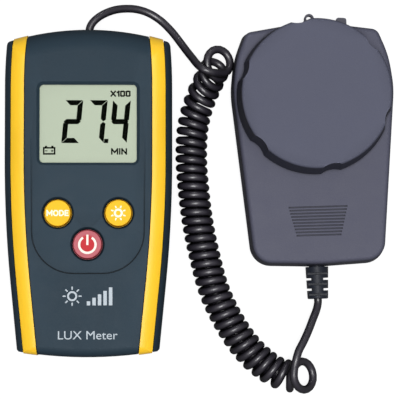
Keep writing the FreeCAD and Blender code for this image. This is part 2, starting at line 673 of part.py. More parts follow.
def diffuser_dome():
    """Domed disc with a narrower foot, hollowed from below."""
    outer_r, inner_r = 35.6, 33.8
    centre = Vector(0, 0, COLLAR_Z + 5.5 - outer_r)
    dome = Part.makeSphere(outer_r, centre).common(cylinder(DOME_R, 24.9, 40))
    dome = dome.fuse(cylinder(DOME_R, 24.05, 24.95)).fuse(cylinder(14.9, 22.2, 24.1))
    return dome.cut(Part.makeSphere(inner_r, centre).common(cylinder(13.2, 20, 40)))


def sensor_board():
    board = prism(rect(0, -14.0, 38.0, 62.0, 2.0), 10.0, 11.6)
    return cut_all(board, cylinders(1.2, 5, 20, [(14, 10), (-14, 10)]))


def sensor_connector():
    body = mid_box(4.2, -48.0, -40.0, 11.6, 14.6).fuse(mid_box(4.2, -50.5, -47.9, 4.9, 14.6))
    return body.cut(mid_box(3.0, -46.5, -41.5, 13.4, 15))


save_placed(diffuser_dome(), "diffuser_dome")
save_placed(fillet_rim(cylinder(24.0, 24.02, 25.5).cut(cylinder(DOME_R + 0.06, 20, 30)),
                       0.5, 25.5), "diffuser_ring")
save_placed(cylinder(15.1, 19.4, 21.6), "optical_filter")
save_placed(mid_box(7.5, -7.5, 7.5, 11.6, 13.4).fuse(cylinder(5.6, 13.3, 14.4)), "photodiode")
save_placed(sensor_board(), "sensor_board")
save_placed(sensor_connector(), "sensor_connector")


# ---------------------------------------------------------------- cap and bracket
def sensor_cap():
    """Protective cap: shallow cone with finger flutes and an inner grip ring."""
    height = CAP_Z1 - CAP_Z0
    cap = fillet_rim(cone(CAP_R0, CAP_R1, height, 0, 0, CAP_Z0), 1.1, CAP_Z1)
    cap = cap.cut(cone(CAP_R0 - 1.9, CAP_R1 - 2.1, 11.8, 0, 0, CAP_Z0 - 0.1))
    flute_r, flute_depth, overrun = 9.0, 1.15, 5
    taper = (CAP_R0 - CAP_R1) / height
    reach = CAP_R0 + flute_r - flute_depth + taper * overrun
    for i in range(CAP_FLUTES):
        angle = math.radians(42.0 - HEAD_YAW + 360.0 / CAP_FLUTES * i)
        cos, sin = math.cos(angle), math.sin(angle)
        cap = cap.cut(Part.makeCylinder(
            flute_r, height + 2 * overrun, Vector(reach * cos, reach * sin, CAP_Z0 - overrun),
            Vector(-taper * cos, -taper * sin, 1)))
    return cap.fuse(cylinder(27.0, 18.9, 30.4).cut(cylinder(25.65, 18, 31)))


def lanyard_bracket():
    """Eyelet, bar and lug on the head's top end."""
    eye_x, eye_y, z0, z1 = -0.15, 32.9, 6.3, 9.1
    bracket = fuse_all([
        cylinder(1.95, z0, z1, eye_x, eye_y),
        prism([(-3.1, 29.6, 0.0), (2.8, 29.6, 0.0), (2.7, 31.3, 0.3),
               (1.4, 32.6, 0.0), (-1.7, 32.6, 0.0), (-3.0, 31.3, 0.3)], z0, z1),
        prism([(-2.9, 29.6, 0.0), (14.0, 28.7, 0.0), (14.0, 31.6, 0.4),
               (2.0, 32.45, 0.3), (-2.9, 31.4, 0.3)], 6.6, 8.8),
        prism([(10.8, 28.9, 0.0), (15.0, 28.5, 0.0), (15.0, 32.75, 1.0), (10.8, 33.05, 1.0)],
              z0, z1),
    ])
    bracket = cut_all(bracket, [HEAD_FRONT, HEAD_REAR, HEAD_FRONT_HOLLOW, HEAD_REAR_HOLLOW])
    return bracket.cut(cylinder(1.1, 0, 20, eye_x, eye_y))


save_placed(sensor_cap(), "sensor_cap")
save_placed(lanyard_bracket(), "lanyard_bracket")

# ---------------------------------------------------------------- cord path
# centre line (x, y, z) of the coil's even part, from its upper to its lower end
AXIS = [
    (42.11, 29.62, 6.5), (41.5, 25.88, 6.5), (41.17, 21.77, 6.5), (41.04, 17.31, 6.5),
    (41.11, 12.04, 6.5), (41.71, 4.34, 6.5), (42.58, -4.16, 6.5), (44.1, -14.26, 6.5),
    (46.74, -26.37, 6.5), (50.1, -38.45, 6.5), (55.31, -49.72, 6.5), (62.12, -60.17, 6.5),
    (67.14, -65.72, 6.5), (71.91, -69.49, 6.62),
]
# loosened turns at the two ends: turns from that end, centre, direction along the coil, radius
TOP_TURNS = [
    (0.0, (52.8, 53.18, 17.2), (-0.6, -0.02, -0.8), 5.3),
    (0.5, (51.84, 52.81, 15.1), (-0.604, -0.117, -0.788), 5.3),
    (1.5, (49.81, 49.16, 11.1), (-0.588, -0.382, -0.713), 5.1),
    (2.5, (47.86, 45.41, 8.9), (-0.524, -0.603, -0.602), 4.95),
    (3.5, (45.95, 41.51, 7.5), (-0.449, -0.778, -0.438), COIL_R),
    (4.5, (44.3, 37.43, 6.85), (-0.376, -0.885, -0.276), COIL_R),
    (5.5, (43.01, 33.47, 6.6), (-0.3, -0.945, -0.131), COIL_R),
    (6.5, AXIS[0], (-0.205, -0.978, -0.035), COIL_R),
]
END_TURNS = [
    (3.5, AXIS[-1], (0.825, -0.565, 0.02), COIL_R),
    (2.5, (75.54, -71.62, 6.9), (0.892, -0.45, 0.05), COIL_R),
    (1.5, (80.0, -72.88, 8.1), (0.95, -0.22, 0.22), 5.1),
    (0.5, (85.83, -72.58, 12.5), (0.71, -0.02, 0.7), 5.75),
    (0.0, (85.41, -72.61, 14.7), (0.66, 0.0, 0.75), 5.75),
]
COIL_START_ANGLE, COIL_END_ANGLE = 57.0, 79.0    # degrees round the coil's axis
POINTS_PER_TURN = 10
FRAMES_PER_TURN = 40
AXIS_STEPS = 600
# the plain cord from inside the meter to the coil, and from the coil towards the head
METER_LEAD = [
    (0, 53.0, 15), (0, 56.0, 15), (0, 59.0, 15), (0, 62.0, 15), (0, 64.2, 15),
    (0.12, 66.0, 15), (0.85, 67.9, 14.9), (2.3, 69.7, 14.6), (4.3, 71.4, 13.9),
    (6.9, 73.0, 12.6), (10.5, 74.5, 10.7), (14.6, 75.3, 8.6), (19.0, 75.3, 6.8),
    (23.6, 74.1, 5.5), (28.3, 71.3, 5.0), (33.0, 66.6, 6.1), (36.4, 61.9, 8.3),
    (39.2, 57.6, 11.6), (41.4, 54.2, 15.4), (43.4, 51.2, 18.8), (45.9, 48.9, 21.1),
    (48.9, 48.0, 20.4),
]
HEAD_LEAD = [
    (82.0, -66.9, 19.0), (83.1, -63.2, 18.2), (85.3, -59.2, 16.5), (87.7, -54.4, 13.9),
    (89.7, -49.8, 11.3), (91.2, -46.4, 9.2),
]
# stations along the boot's axis, in the head's own frame
BOOT_LEAD_Y = (-82.0, -80.2, -78.0, -75.0, -71.0, -66.0, -60.0, -50.52)


def head_point(x, y, z):
    """Point of the head's own frame, placed."""
    angle = math.radians(HEAD_YAW)
    cos, sin = math.cos(angle), math.sin(angle)
    return (HEAD_X + x * cos - y * sin, HEAD_Y + x * sin + y * cos, z)


def slope(keys, values, j):
    """Rate of change of the values at key j."""
    def rate(i):
        return [(b - a) / (keys[i + 1] - keys[i]) for a, b in zip(values[i], values[i + 1])]

    if j == 0:
        return rate(0)
    if j == len(keys) - 1:
        return rate(j - 1)
    before, after = keys[j] - keys[j - 1], keys[j + 1] - keys[j]
    return [(a * after + b * before) / (before + after) for a, b in zip(rate(j - 1), rate(j))]


def smooth(keys, values, at):
    """Cubic blend at a place between uneven keys; values are lists of numbers."""
    i = 0
    while i < len(keys) - 2 and keys[i + 1] <= at:
        i += 1
    span = keys[i + 1] - keys[i]
    t = (at - keys[i]) / span
    start, end = 2 * t ** 3 - 3 * t ** 2 + 1, -2 * t ** 3 + 3 * t ** 2
    start_slope, end_slope = (t ** 3 - 2 * t ** 2 + t) * span, (t ** 3 - t ** 2) * span
    return [start * a + start_slope * p + end * b + end_slope * q
            for a, b, p, q in zip(values[i], values[i + 1],
                                  slope(keys, values, i), slope(keys, values, i + 1))]


def running_lengths(points):
    lengths = [0.0]
    for i in range(len(points) - 1):
        lengths.append(lengths[-1] + (points[i + 1] - points[i]).Length)
    return lengths


def running_turns(line):
    """Turns up to each axis point; the pitch grows in a bend so its inside stays clear."""
    lengths = running_lengths(line)
    turns = [0.0]
    for i in range(AXIS_STEPS):
        a, b = max(i - 12, 0), min(i + 13, AXIS_STEPS)
        change = unit(line[b] - line[b - 1]) - unit(line[a + 1] - line[a])
        bend = change.Length / (lengths[b] - lengths[a])
        pitch = max(COIL_PITCH, (2 * CORD_R + 0.2) / (1 - COIL_R * bend))
        turns.append(turns[-1] + (lengths[i + 1] - lengths[i]) / pitch)
    return turns


def coil_stations():
    """Turn numbers, their stations (centre, direction, radius) and the number of turns."""
    def station(centre, direction, radius):
        return [*centre, *unit(Vector(*direction)), radius]

    keys_along = running_lengths([Vector(*p) for p in AXIS])
    line = [Vector(*smooth(keys_along, AXIS, keys_along[-1] * i / AXIS_STEPS))
            for i in range(AXIS_STEPS + 1)]
    turns = running_turns(line)
    count = int(round(turns[-1]))
    top_turns, end_turns = TOP_TURNS[-1][0], END_TURNS[0][0]
    total = top_turns + count + end_turns
    # adjust the total so that the coil ends at its end angle
    total += ((COIL_START_ANGLE - COIL_END_ANGLE) / 360.0 - total + 0.5) % 1.0 - 0.5
    even_turns = total - top_turns - end_turns

    keys = [row[0] for row in TOP_TURNS]
    values = [station(*row[1:]) for row in TOP_TURNS]
    for i in range(1, count):
        wanted = turns[-1] * i / count
        j = 0
        while turns[j + 1] < wanted:
            j += 1
        part = (wanted - turns[j]) / (turns[j + 1] - turns[j])
        centre = line[j] + (line[j + 1] - line[j]) * part
        keys.append(top_turns + even_turns * i / count)
        values.append(station(centre, line[min(j + 12, AXIS_STEPS)] - line[max(j - 11, 0)],
                              COIL_R))
    keys += [total - row[0] for row in END_TURNS]
    values += [station(*row[1:]) for row in END_TURNS]
    return keys, values, total


def square_to(vector, tangent):
    """Unit vector nearest to the given one and square to the tangent."""
    return unit(vector - tangent * vector.dot(tangent))


def coil_points():
    """Wire centre line of the coil: a left-hand helix wound round its axis."""
    keys, values, total = coil_stations()
    # frame carried along without twist, from the middle to both ends
    steps = int(round(total * FRAMES_PER_TURN))
    tangents = [unit(Vector(*smooth(keys, values, total * i / steps)[3:6]))
                for i in range(steps + 1)]
    middle = steps // 2
    normals = [None] * (steps + 1)
    normals[middle] = square_to(Vector(1, 0, 0), tangents[middle])
    for i in range(middle + 1, steps + 1):
        normals[i] = square_to(normals[i - 1], tangents[i])
    for i in range(middle - 1, -1, -1):
        normals[i] = square_to(normals[i + 1], tangents[i])

    points = []
    count = int(round(total * POINTS_PER_TURN))
    for k in range(count + 1):
        turn = total * k / count
        place = turn / total * steps
        i = min(int(place), steps - 1)
        station = smooth(keys, values, turn)
        tangent = unit(Vector(*station[3:6]))
        normal = normals[i] + (normals[i + 1] - normals[i]) * (place - i)
        normal = square_to(normal, tangent)
        radius = station[6]
        angle = math.radians(COIL_START_ANGLE - 360.0 * turn)
        points.append(Vector(*station[:3]) + normal * (radius * math.cos(angle))
                      + tangent.cross(normal) * (radius * math.sin(angle)))
    return points


# ---------------------------------------------------------------- cord
# one smooth curve, divided where the coil starts and ends
coil = coil_points()
boot_lead = [head_point(BOOT_X, y, HEAD_SPLIT_Z) for y in BOOT_LEAD_Y]
cord = spline(METER_LEAD + coil + HEAD_LEAD + boot_lead)
coil_start = cord.parameter(coil[0])
coil_end = cord.parameter(coil[-1])


def coiled_cord(pieces=16):
    """The coil, swept in short lengths and joined."""
    whole = None
    for i in range(pieces):
        start = coil_start + (coil_end - coil_start) * i / pieces
        end = coil_start + (coil_end - coil_start) * (i + 1) / pieces
        piece = sweep(cord, CORD_R, start, end)
        whole = piece if whole is None else whole.fuse(piece)
    return whole


save(sweep(cord, CORD_R, cord.FirstParameter, coil_start), "cord_lead_meter")
save(sweep(cord, CORD_R, coil_end, cord.LastParameter), "cord_lead_sensor")
save(coiled_cord(), "coiled_cord")
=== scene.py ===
# A handheld light meter lying face up (+Z) round the origin, the top of its display towards +Y.
# Its sensor head lies beside it on the +X side. A cord leaves the meter at its +Y end, winds
# into a coil that runs down between the two, and enters the head from its -Y end.
# Drawn shapes and the cord are given in millimetres; materials, floor, lights and camera in metres.
import math
import bmesh
import bpy
from mathutils import Matrix, Vector


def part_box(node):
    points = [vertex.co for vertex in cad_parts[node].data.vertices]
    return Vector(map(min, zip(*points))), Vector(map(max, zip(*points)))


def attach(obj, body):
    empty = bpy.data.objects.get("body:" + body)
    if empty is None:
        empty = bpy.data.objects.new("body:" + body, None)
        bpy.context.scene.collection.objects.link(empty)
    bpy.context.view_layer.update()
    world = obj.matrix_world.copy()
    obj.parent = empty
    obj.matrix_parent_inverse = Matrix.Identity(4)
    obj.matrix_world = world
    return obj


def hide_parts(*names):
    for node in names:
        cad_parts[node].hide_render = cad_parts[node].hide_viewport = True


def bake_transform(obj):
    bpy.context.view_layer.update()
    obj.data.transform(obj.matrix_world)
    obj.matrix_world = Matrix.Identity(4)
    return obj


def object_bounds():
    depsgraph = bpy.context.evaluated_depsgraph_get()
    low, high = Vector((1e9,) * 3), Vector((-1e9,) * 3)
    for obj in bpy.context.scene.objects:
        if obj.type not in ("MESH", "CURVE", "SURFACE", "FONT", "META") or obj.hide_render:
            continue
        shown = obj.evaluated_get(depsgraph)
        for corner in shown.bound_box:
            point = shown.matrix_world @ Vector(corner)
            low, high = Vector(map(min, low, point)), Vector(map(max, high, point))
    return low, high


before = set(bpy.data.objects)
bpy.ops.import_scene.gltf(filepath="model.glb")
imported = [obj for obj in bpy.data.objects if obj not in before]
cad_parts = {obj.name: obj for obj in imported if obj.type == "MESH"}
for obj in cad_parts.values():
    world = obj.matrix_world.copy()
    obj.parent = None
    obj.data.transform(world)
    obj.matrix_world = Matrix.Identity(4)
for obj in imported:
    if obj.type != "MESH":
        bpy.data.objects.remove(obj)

MM = 0.001

cad_lo, cad_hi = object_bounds()
scene = bpy.context.scene
scene.view_settings.view_transform = "Standard"
scene.view_settings.look = "None"


# ------------------------------------------------------------------ material tools
def srgb(*rgb):
    """Linear colour from 0-255 sRGB values."""
    out = []
    for v in rgb:
        v = v / 255.0
        out.append(v / 12.92 if v <= 0.04045 else ((v + 0.055) / 1.055) ** 2.4)
    return (*out, 1.0)


def toned(colour, k):
    """The colour made k times as bright."""
    return (colour[0] * k, colour[1] * k, colour[2] * k, 1)


class Mat:
    """Wires a node material; textures use object coordinates."""

    def __init__(self, name):
        self.material = bpy.data.materials.new(name)
        self.material.use_nodes = True
        self.tree = self.material.node_tree
        self.shader = self.tree.nodes["Principled BSDF"]
        self.output = self.tree.nodes["Material Output"]
        self.coords = self.node("ShaderNodeTexCoord").outputs["Object"]

    def node(self, kind, **settings):
        n = self.tree.nodes.new(kind)
        for key, value in settings.items():
            setattr(n, key, value)
        return n

    def feed(self, socket, value):
        """Links an output to the socket, or sets the socket to a plain value."""
        if isinstance(value, (int, float, tuple)):
            socket.default_value = value
        else:
            self.tree.links.new(value, socket)

    def texture(self, kind, inputs, output, **settings):
        n = self.node(kind, **settings)
        for key, value in inputs.items():
            n.inputs[key].default_value = value
        self.feed(n.inputs["Vector"], self.coords)
        return n.outputs[output]

    def noise(self, scale, detail=3.0, rough=0.5):
        inputs = {"Scale": scale, "Detail": detail, "Roughness": rough}
        return self.texture("ShaderNodeTexNoise", inputs, "Fac")

    def voronoi(self, scale):
        return self.texture("ShaderNodeTexVoronoi", {"Scale": scale}, "Distance")

    def wave(self, scale, direction, distortion=0.0):
        inputs = {"Scale": scale, "Distortion": distortion}
        return self.texture("ShaderNodeTexWave", inputs, "Fac", bands_direction=direction)

    def ramp(self, fac, low, high, at=(0.3, 0.7)):
        n = self.node("ShaderNodeValToRGB")
        for stop, place, colour in zip(n.color_ramp.elements, at, (low, high)):
            stop.position = place
            stop.color = colour
        self.feed(n.inputs["Fac"], fac)
        return n.outputs["Color"]

    def mottle(self, fac, colour, low, high, at=(0.3, 0.7)):
        """The colour, from low to high times its brightness."""
        return self.ramp(fac, toned(colour, low), toned(colour, high), at)

    def calc(self, operation, *values):
        n = self.node("ShaderNodeMath", operation=operation)
        for socket, value in zip(n.inputs, values):
            self.feed(socket, value)
        return n.outputs[0]

    def weighted(self, a, share_a, b, share_b):
        return self.calc("ADD", self.calc("MULTIPLY", a, share_a), self.calc("MULTIPLY", b, share_b))

    def remap(self, value, span, to=(0.0, 1.0)):
        n = self.node("ShaderNodeMapRange")
        for socket, v in zip(n.inputs, (value, *span, *to)):
            self.feed(socket, v)
        return n.outputs[0]

    def mix(self, fac, a, b):
        n = self.node("ShaderNodeMix", data_type="RGBA", blend_type="MIX")
        # inputs 6 and 7 are the two colours
        for i, value in ((0, fac), (6, a), (7, b)):
            self.feed(n.inputs[i], value)
        return n.outputs[2]

    def split(self, vector):
        n = self.node("ShaderNodeSeparateXYZ")
        self.feed(n.inputs[0], vector)
        return n.outputs

    def geometry(self, output):
        return self.node("ShaderNodeNewGeometry").outputs[output]

    def slope(self, span, to=(1.0, 0.0)):
        """The first value of to where the surface stands upright, the second where it lies flat."""
        normal = self.split(self.geometry("Normal"))
        return self.remap(self.calc("ABSOLUTE", normal[2]), span, to)

    def crevice(self, distance):
        """1 on open surfaces, towards 0 deep in grooves and corners."""
        n = self.node("ShaderNodeAmbientOcclusion", samples=8, only_local=False)
        n.inputs["Distance"].default_value = distance
        return n.outputs["AO"]

    def bump(self, height, strength, depth, under=None):
        """Surface relief, depth in millimetres, laid over the normal under."""
        n = self.node("ShaderNodeBump")
        n.inputs["Strength"].default_value = strength
        n.inputs["Distance"].default_value = depth * MM
        self.feed(n.inputs["Height"], height)
        if under is not None:
            self.feed(n.inputs["Normal"], under)
        return n.outputs["Normal"]

    def bevel(self, radius):
        """Rounded-edge normal, radius in metres; None where there is no radius."""
        if not radius:
            return None
        n = self.node("ShaderNodeBevel", samples=4)
        n.inputs["Radius"].default_value = radius
        return n.outputs["Normal"]

    def set(self, **inputs):
        """Feeds the Principled shader and hands back the material."""
        for key, value in inputs.items():
            self.feed(self.shader.inputs[key.replace("_", " ")], value)
        return self.material


# ------------------------------------------------------------------ material families
# rough: roughness   vary: cloudiness of the colour   spec: specular level
# bevel: radius of the rounded edges   crevice_shade_reach: reach of the painted shade darkening grooves and corners
# wall_shade: brightness of the upright walls against the tops, a painted shade
def moulded(name, rgb, rough=0.5, vary=0.10, edge=0.0, bevel=0.00018, spec=0.3,
            wall_shade=1.0, crevice_shade_reach=0.0, turn=(0.1, 0.9)):
    """Moulded plastic: spark-eroded grain, flow marks, polish on the edges (edge).

    Painted shade: wall_shade tones the upright walls down, over the slopes in turn;
    crevice_shade_reach darkens grooves and corners."""
    m = Mat(name)
    colour = srgb(*rgb)
    big = m.noise(scale=22.0, detail=3.0, rough=0.55)
    mid = m.noise(scale=160.0, detail=4.0, rough=0.6)
    col = m.mottle(m.weighted(big, 0.6, mid, 0.4), colour, low=1 - vary, high=1 + vary)
    grain = m.noise(scale=2600.0, detail=2.0, rough=0.6)
    pits = m.voronoi(scale=2600.0 * 0.8)
    col = m.mix(m.remap(grain, span=(0.35, 0.7), to=(0.0, 0.22)), col, toned(colour, 0.62))
    if edge:
        worn = m.remap(m.geometry("Pointiness"), span=(0.515, 0.56), to=(0.0, edge))
        col = m.mix(worn, col, toned(colour, 1.7))
    if wall_shade < 1.0:
        # painted shade: the upright walls toned down, flat surfaces keep the colour itself
        # (the mix takes its second colour where the slope value is 1)
        col = m.mix(m.slope(span=turn), col, toned(colour, wall_shade))
    if crevice_shade_reach:
        # painted shade: grooves and corners darkened by ambient occlusion
        crevice_shade = m.remap(m.crevice(crevice_shade_reach), span=(0.35, 0.85), to=(0.85, 0.0))
        col = m.mix(crevice_shade, col, toned(colour, 0.12))
    shine = m.remap(m.weighted(grain, 0.5, mid, 0.5), span=(0.3, 0.7),
                    to=(rough - 0.07, rough + 0.08))
    relief = m.weighted(grain, 0.65, pits, 0.35)
    normal = m.bump(relief, strength=0.5, depth=0.035, under=m.bevel(bevel))
    return m.set(Base_Color=col, Roughness=shine, Normal=normal, IOR=1.5, Specular_IOR_Level=spec)


def rubbery(name, rgb, rough=0.55, grain=1800.0, vary=0.06, subsurface=0.0, sheen=0.15,
            bevel=0.0002, shade=None, spec=0.35, rim=None, wall_shade=1.0, heart=None, crevice_shade_reach=0.0):
    """Soft elastomer: fine matt skin, slight cloudiness, soft sheen.

    shade is a painted shade colour for the creases, rim a painted shade colour for the upright
    walls; wall_shade tones the walls down and crevice_shade_reach darkens gaps, both as painted
    shade.
    heart is (x, y, inner radius, outer radius, rgb) of a round patch."""
    m = Mat(name)
    colour = srgb(*rgb)
    big = m.noise(scale=30.0, detail=4.0, rough=0.6)
    fine = m.noise(scale=grain, detail=3.0, rough=0.65)
    col = m.mottle(big, colour, low=1 - vary, high=1 + vary)
    if shade:
        # painted shade: concave creases take the darker shade colour
        crease = m.remap(m.geometry("Pointiness"), span=(0.44, 0.5), to=(1.0, 0.0))
        col = m.mix(crease, col, srgb(*shade))
    if heart:
        x, y, inner, outer, heart_rgb = heart
        place = m.split(m.geometry("Position"))
        dx, dy = m.calc("SUBTRACT", place[0], x), m.calc("SUBTRACT", place[1], y)
        squares = m.calc("ADD", m.calc("MULTIPLY", dx, dx), m.calc("MULTIPLY", dy, dy))
        patch = m.remap(m.calc("SQRT", squares), span=(inner, outer), to=(1.0, 0.0))
        col = m.mix(patch, col, srgb(*heart_rgb))
    if rim:
        # painted shade: the upright walls take the darker rim colour
        col = m.mix(m.slope(span=(0.75, 0.97)), col, srgb(*rim))
    if wall_shade < 1.0:
        # painted shade: the upright walls toned down
        col = m.mix(m.slope(span=(0.2, 0.98)), col, toned(colour, wall_shade))
    if crevice_shade_reach:
        # painted shade: gaps and crevices darkened by ambient occlusion
        crevice_shade = m.remap(m.crevice(crevice_shade_reach), span=(0.25, 0.9), to=(1.0, 0.0))
        col = m.mix(crevice_shade, col, toned(colour, 0.05))
    specks = m.noise(scale=420.0, detail=5.0, rough=0.7)
    dust = m.remap(specks, span=(0.62, 0.8), to=(0.0, 0.25))
    col = m.mix(dust, col, toned(colour, 1.12))
    shine = m.remap(fine, span=(0.3, 0.7), to=(rough - 0.06, rough + 0.08))
    relief = m.weighted(fine, 0.7, big, 0.3)
    normal = m.bump(relief, strength=0.4, depth=0.02, under=m.bevel(bevel))
    if wall_shade < 1.0:
        spec = m.slope(span=(0.3, 0.95), to=(spec * 0.08, spec))
    if subsurface:
        m.set(Subsurface_Weight=subsurface, Subsurface_Radius=(1.0, 0.6, 0.2),
              Subsurface_Scale=0.0008)
    return m.set(Base_Color=col, Roughness=shine, Normal=normal, Sheen_Weight=sheen,
                 Sheen_Roughness=0.5, Specular_IOR_Level=spec)


def metal(name, rgb, rough=0.32, brush=None):
    """Bare metal, brushed in bands across the axis brush, or finely pitted."""
    m = Mat(name)
    fine = m.noise(scale=900.0, detail=4.0, rough=0.7)
    if brush:
        scratch = m.wave(scale=2400.0, direction=brush, distortion=6.0)
    else:
        scratch = m.noise(scale=3000.0, detail=2.0, rough=0.5)
    col = m.mottle(fine, srgb(*rgb), low=0.86, high=1.06)
    shine = m.remap(scratch, span=(0.2, 0.8), to=(rough - 0.08, rough + 0.12))
    normal = m.bump(scratch, strength=0.25, depth=0.006, under=m.bevel(0.00012))
    return m.set(Base_Color=col, Roughness=shine, Metallic=1.0, Normal=normal)


def ink(name, rgb, rough=0.5, spec=0.3):
    """Printed ink: nearly even, with a grain that lets specks through."""
    m = Mat(name)
    colour = srgb(*rgb)
    grain = m.noise(scale=2200.0, detail=4.0, rough=0.65)
    col = m.mottle(grain, colour, low=0.72, high=1.0, at=(0.28, 0.5))
    shine = m.remap(grain, span=(0.3, 0.7), to=(rough - 0.08, rough + 0.1))
    normal = m.bump(grain, strength=0.3, depth=0.01)
    return m.set(Base_Color=col, Roughness=shine, Normal=normal, Specular_IOR_Level=spec)


def clear(name, tint):
    """Thin clear plastic: lets light straight through and mirrors at a slant."""
    m = Mat(name)
    fresnel = m.node("ShaderNodeFresnel")
    fresnel.inputs["IOR"].default_value = 1.49
    through = m.node("ShaderNodeBsdfTransparent")
    through.inputs["Color"].default_value = tint
    smear = m.noise(scale=60.0, detail=5.0, rough=0.65)
    gloss = m.node("ShaderNodeBsdfGlossy")
    m.feed(gloss.inputs["Roughness"], m.remap(smear, span=(0.35, 0.75), to=(0.02, 0.02 + 0.03)))
    both = m.node("ShaderNodeMixShader")
    mirror = m.calc("MULTIPLY", fresnel.outputs[0], 0.05)
    for socket, value in zip(both.inputs, (mirror, through.outputs[0], gloss.outputs[0])):
        m.feed(socket, value)
    m.feed(m.output.inputs["Surface"], both.outputs[0])
    return m.material


# ------------------------------------------------------------------ single materials
def zebra_rubber():
    """Dark and pale layers in turn along X."""
    m = Mat("zebra_rubber")
    layers = m.wave(scale=2200.0, direction="X")
    col = m.ramp(layers, srgb(20, 20, 22), srgb(176, 150, 150), at=(0.45, 0.55))
    return m.set(Base_Color=col, Roughness=0.6)


def solder_mask():
    """Green mask with faint copper tracks and plated pads beneath."""
    m = Mat("solder_mask")
    colour = srgb(20, 78, 46)
    across = m.wave(scale=120.0, direction="X", distortion=1.5)
    along = m.wave(scale=95.0, direction="Y", distortion=1.2)
    track = m.remap(m.calc("MAXIMUM", across, along), span=(0.86, 0.92))
    pad = m.remap(m.voronoi(scale=190.0), span=(0.10, 0.13), to=(1.0, 0.0))
    cloud = m.noise(scale=300.0, detail=4.0, rough=0.6)
    col = m.mottle(cloud, colour, low=0.85, high=1.1)
    col = m.mix(m.calc("MULTIPLY", track, 0.55), col, toned(colour, 2.0))
    col = m.mix(pad, col, srgb(196, 182, 140))
    shine = m.remap(pad, span=(0, 1), to=(0.33, 0.25))
    normal = m.bump(m.calc("ADD", track, pad), strength=0.25, depth=0.03)
    return m.set(Base_Color=col, Roughness=shine, Metallic=pad, Normal=normal)


def battery_sleeve():
    """Printed sleeve: blue towards -Y, silver from the band edge towards +Y."""
    m = Mat("battery_sleeve")
    band = m.remap(m.split(m.coords)[1], span=(-0.0225, -0.0222))
    grain = m.noise(scale=700.0, detail=3.0, rough=0.6)
    blue = m.ramp(grain, srgb(58, 92, 132), srgb(66, 102, 144))
    silver = m.ramp(grain, srgb(176, 180, 186), srgb(190, 194, 200))
    shine = m.remap(grain, span=(0.3, 0.7), to=(0.28, 0.4))
    return m.set(Base_Color=m.mix(band, blue, silver), Roughness=shine, Metallic=0.4,
                 Normal=m.bevel(0.0003))


def lcd_face():
    """Reflective display glass: grey-green with a faint fine grain."""
    m = Mat("lcd_face")
    colour = srgb(194, 198, 183)
    cloud = m.noise(scale=14.0, detail=3.0, rough=0.5)
    col = m.mottle(cloud, colour, low=0.97, high=1.03, at=(0.25, 0.75))
    grain = m.noise(scale=1500.0, detail=2.0, rough=0.6)
    col = m.mix(m.remap(grain, span=(0.35, 0.7), to=(0.0, 0.10)), col, toned(colour, 0.8))
    shine = m.remap(grain, span=(0.3, 0.7), to=(0.46, 0.58))
    normal = m.bump(grain, strength=0.15, depth=0.01)
    return m.set(Base_Color=col, Roughness=shine, Specular_IOR_Level=0.12, Normal=normal)


def studio_paper():
    """White to the camera; the light it throws back on the object is toned down."""
    m = Mat("studio_paper")
    cloud = m.noise(scale=8.0, detail=4.0, rough=0.6)
    fibre = m.noise(scale=900.0, detail=3.0, rough=0.6)
    paper = m.ramp(cloud, srgb(244, 244, 245), srgb(248, 248, 248))
    seen = m.node("ShaderNodeLightPath").outputs["Is Camera Ray"]
    return m.set(Base_Color=m.mix(0.82, paper, srgb(60, 60, 62)), Roughness=0.9,
                 Specular_IOR_Level=0.05, Normal=m.bump(fibre, strength=0.05, depth=0.02),
                 Emission_Color=paper, Emission_Strength=m.calc("MULTIPLY", seen, 0.93))


# ------------------------------------------------------------------ materials
CASE = moulded("case_slate", (42, 57, 68), rough=0.55, vary=0.06, edge=0.25, spec=0.10,
               wall_shade=0.72, crevice_shade_reach=0.0018, turn=(0.45, 0.995))
HEAD = moulded("head_slate", (82, 83, 99), rough=0.58, vary=0.05, edge=0.25, spec=0.20,
               wall_shade=0.48, crevice_shade_reach=0.0016, turn=(0.2, 0.97))
CAP = moulded("cap_slate", (82, 84, 100), rough=0.58, vary=0.04, edge=0.3, spec=0.12,
              wall_shade=0.46, crevice_shade_reach=0.0040)
YELLOW_BAND = rubbery("yellow_soft", (252, 200, 40), rough=0.42, subsurface=0.06, sheen=0.05,
                      shade=(228, 140, 20))
KEY_SKIN = dict(rough=0.46, subsurface=0.06, sheen=0.0, spec=0.08)
YELLOW_KEY = rubbery("yellow_key", (244, 194, 38), shade=(214, 140, 20), rim=(150, 92, 10),
                     **KEY_SKIN)
power_lo, power_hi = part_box("power_button")
power_heart = ((power_lo.x + power_hi.x) / 2, (power_lo.y + power_hi.y) / 2,
               0.0030, 0.0040, (196, 48, 54))
RED_KEY = rubbery("red_key", (192, 104, 112), shade=(120, 16, 26), rim=(110, 24, 34),
                  heart=power_heart, **KEY_SKIN)
CORD = rubbery("cord_jacket", (46, 43, 52), rough=0.37, grain=1400.0, vary=0.12, sheen=0.0,
               bevel=None, spec=0.85, wall_shade=0.08, crevice_shade_reach=0.0035)
BOOT = rubbery("boot_rubber", (28, 32, 42), rough=0.5, vary=0.1, sheen=0.05, spec=0.25)
BLACK = moulded("black_plastic", (26, 27, 32))
BRACKET = moulded("bracket_slate", (66, 66, 78), vary=0.06, edge=0.3)
WHITE = moulded("white_plastic", (222, 220, 210), rough=0.45, vary=0.03)
SILICONE = rubbery("silicone_sheet", (150, 152, 156), rough=0.6, subsurface=0.1)
ZEBRA = zebra_rubber()
TIN = metal("tinned_metal", (205, 206, 208), rough=0.28)
STEEL = metal("screw_steel", (172, 172, 174), rough=0.3, brush="X")
BOARD = solder_mask()
CHIP = moulded("chip_epoxy", (26, 26, 28), rough=0.48, bevel=0.0001)
CAN = metal("capacitor_can", (150, 154, 176), rough=0.35, brush="Z")
TRIMMER = moulded("blue_trimmer", (36, 80, 158), rough=0.42)
BATTERY = battery_sleeve()
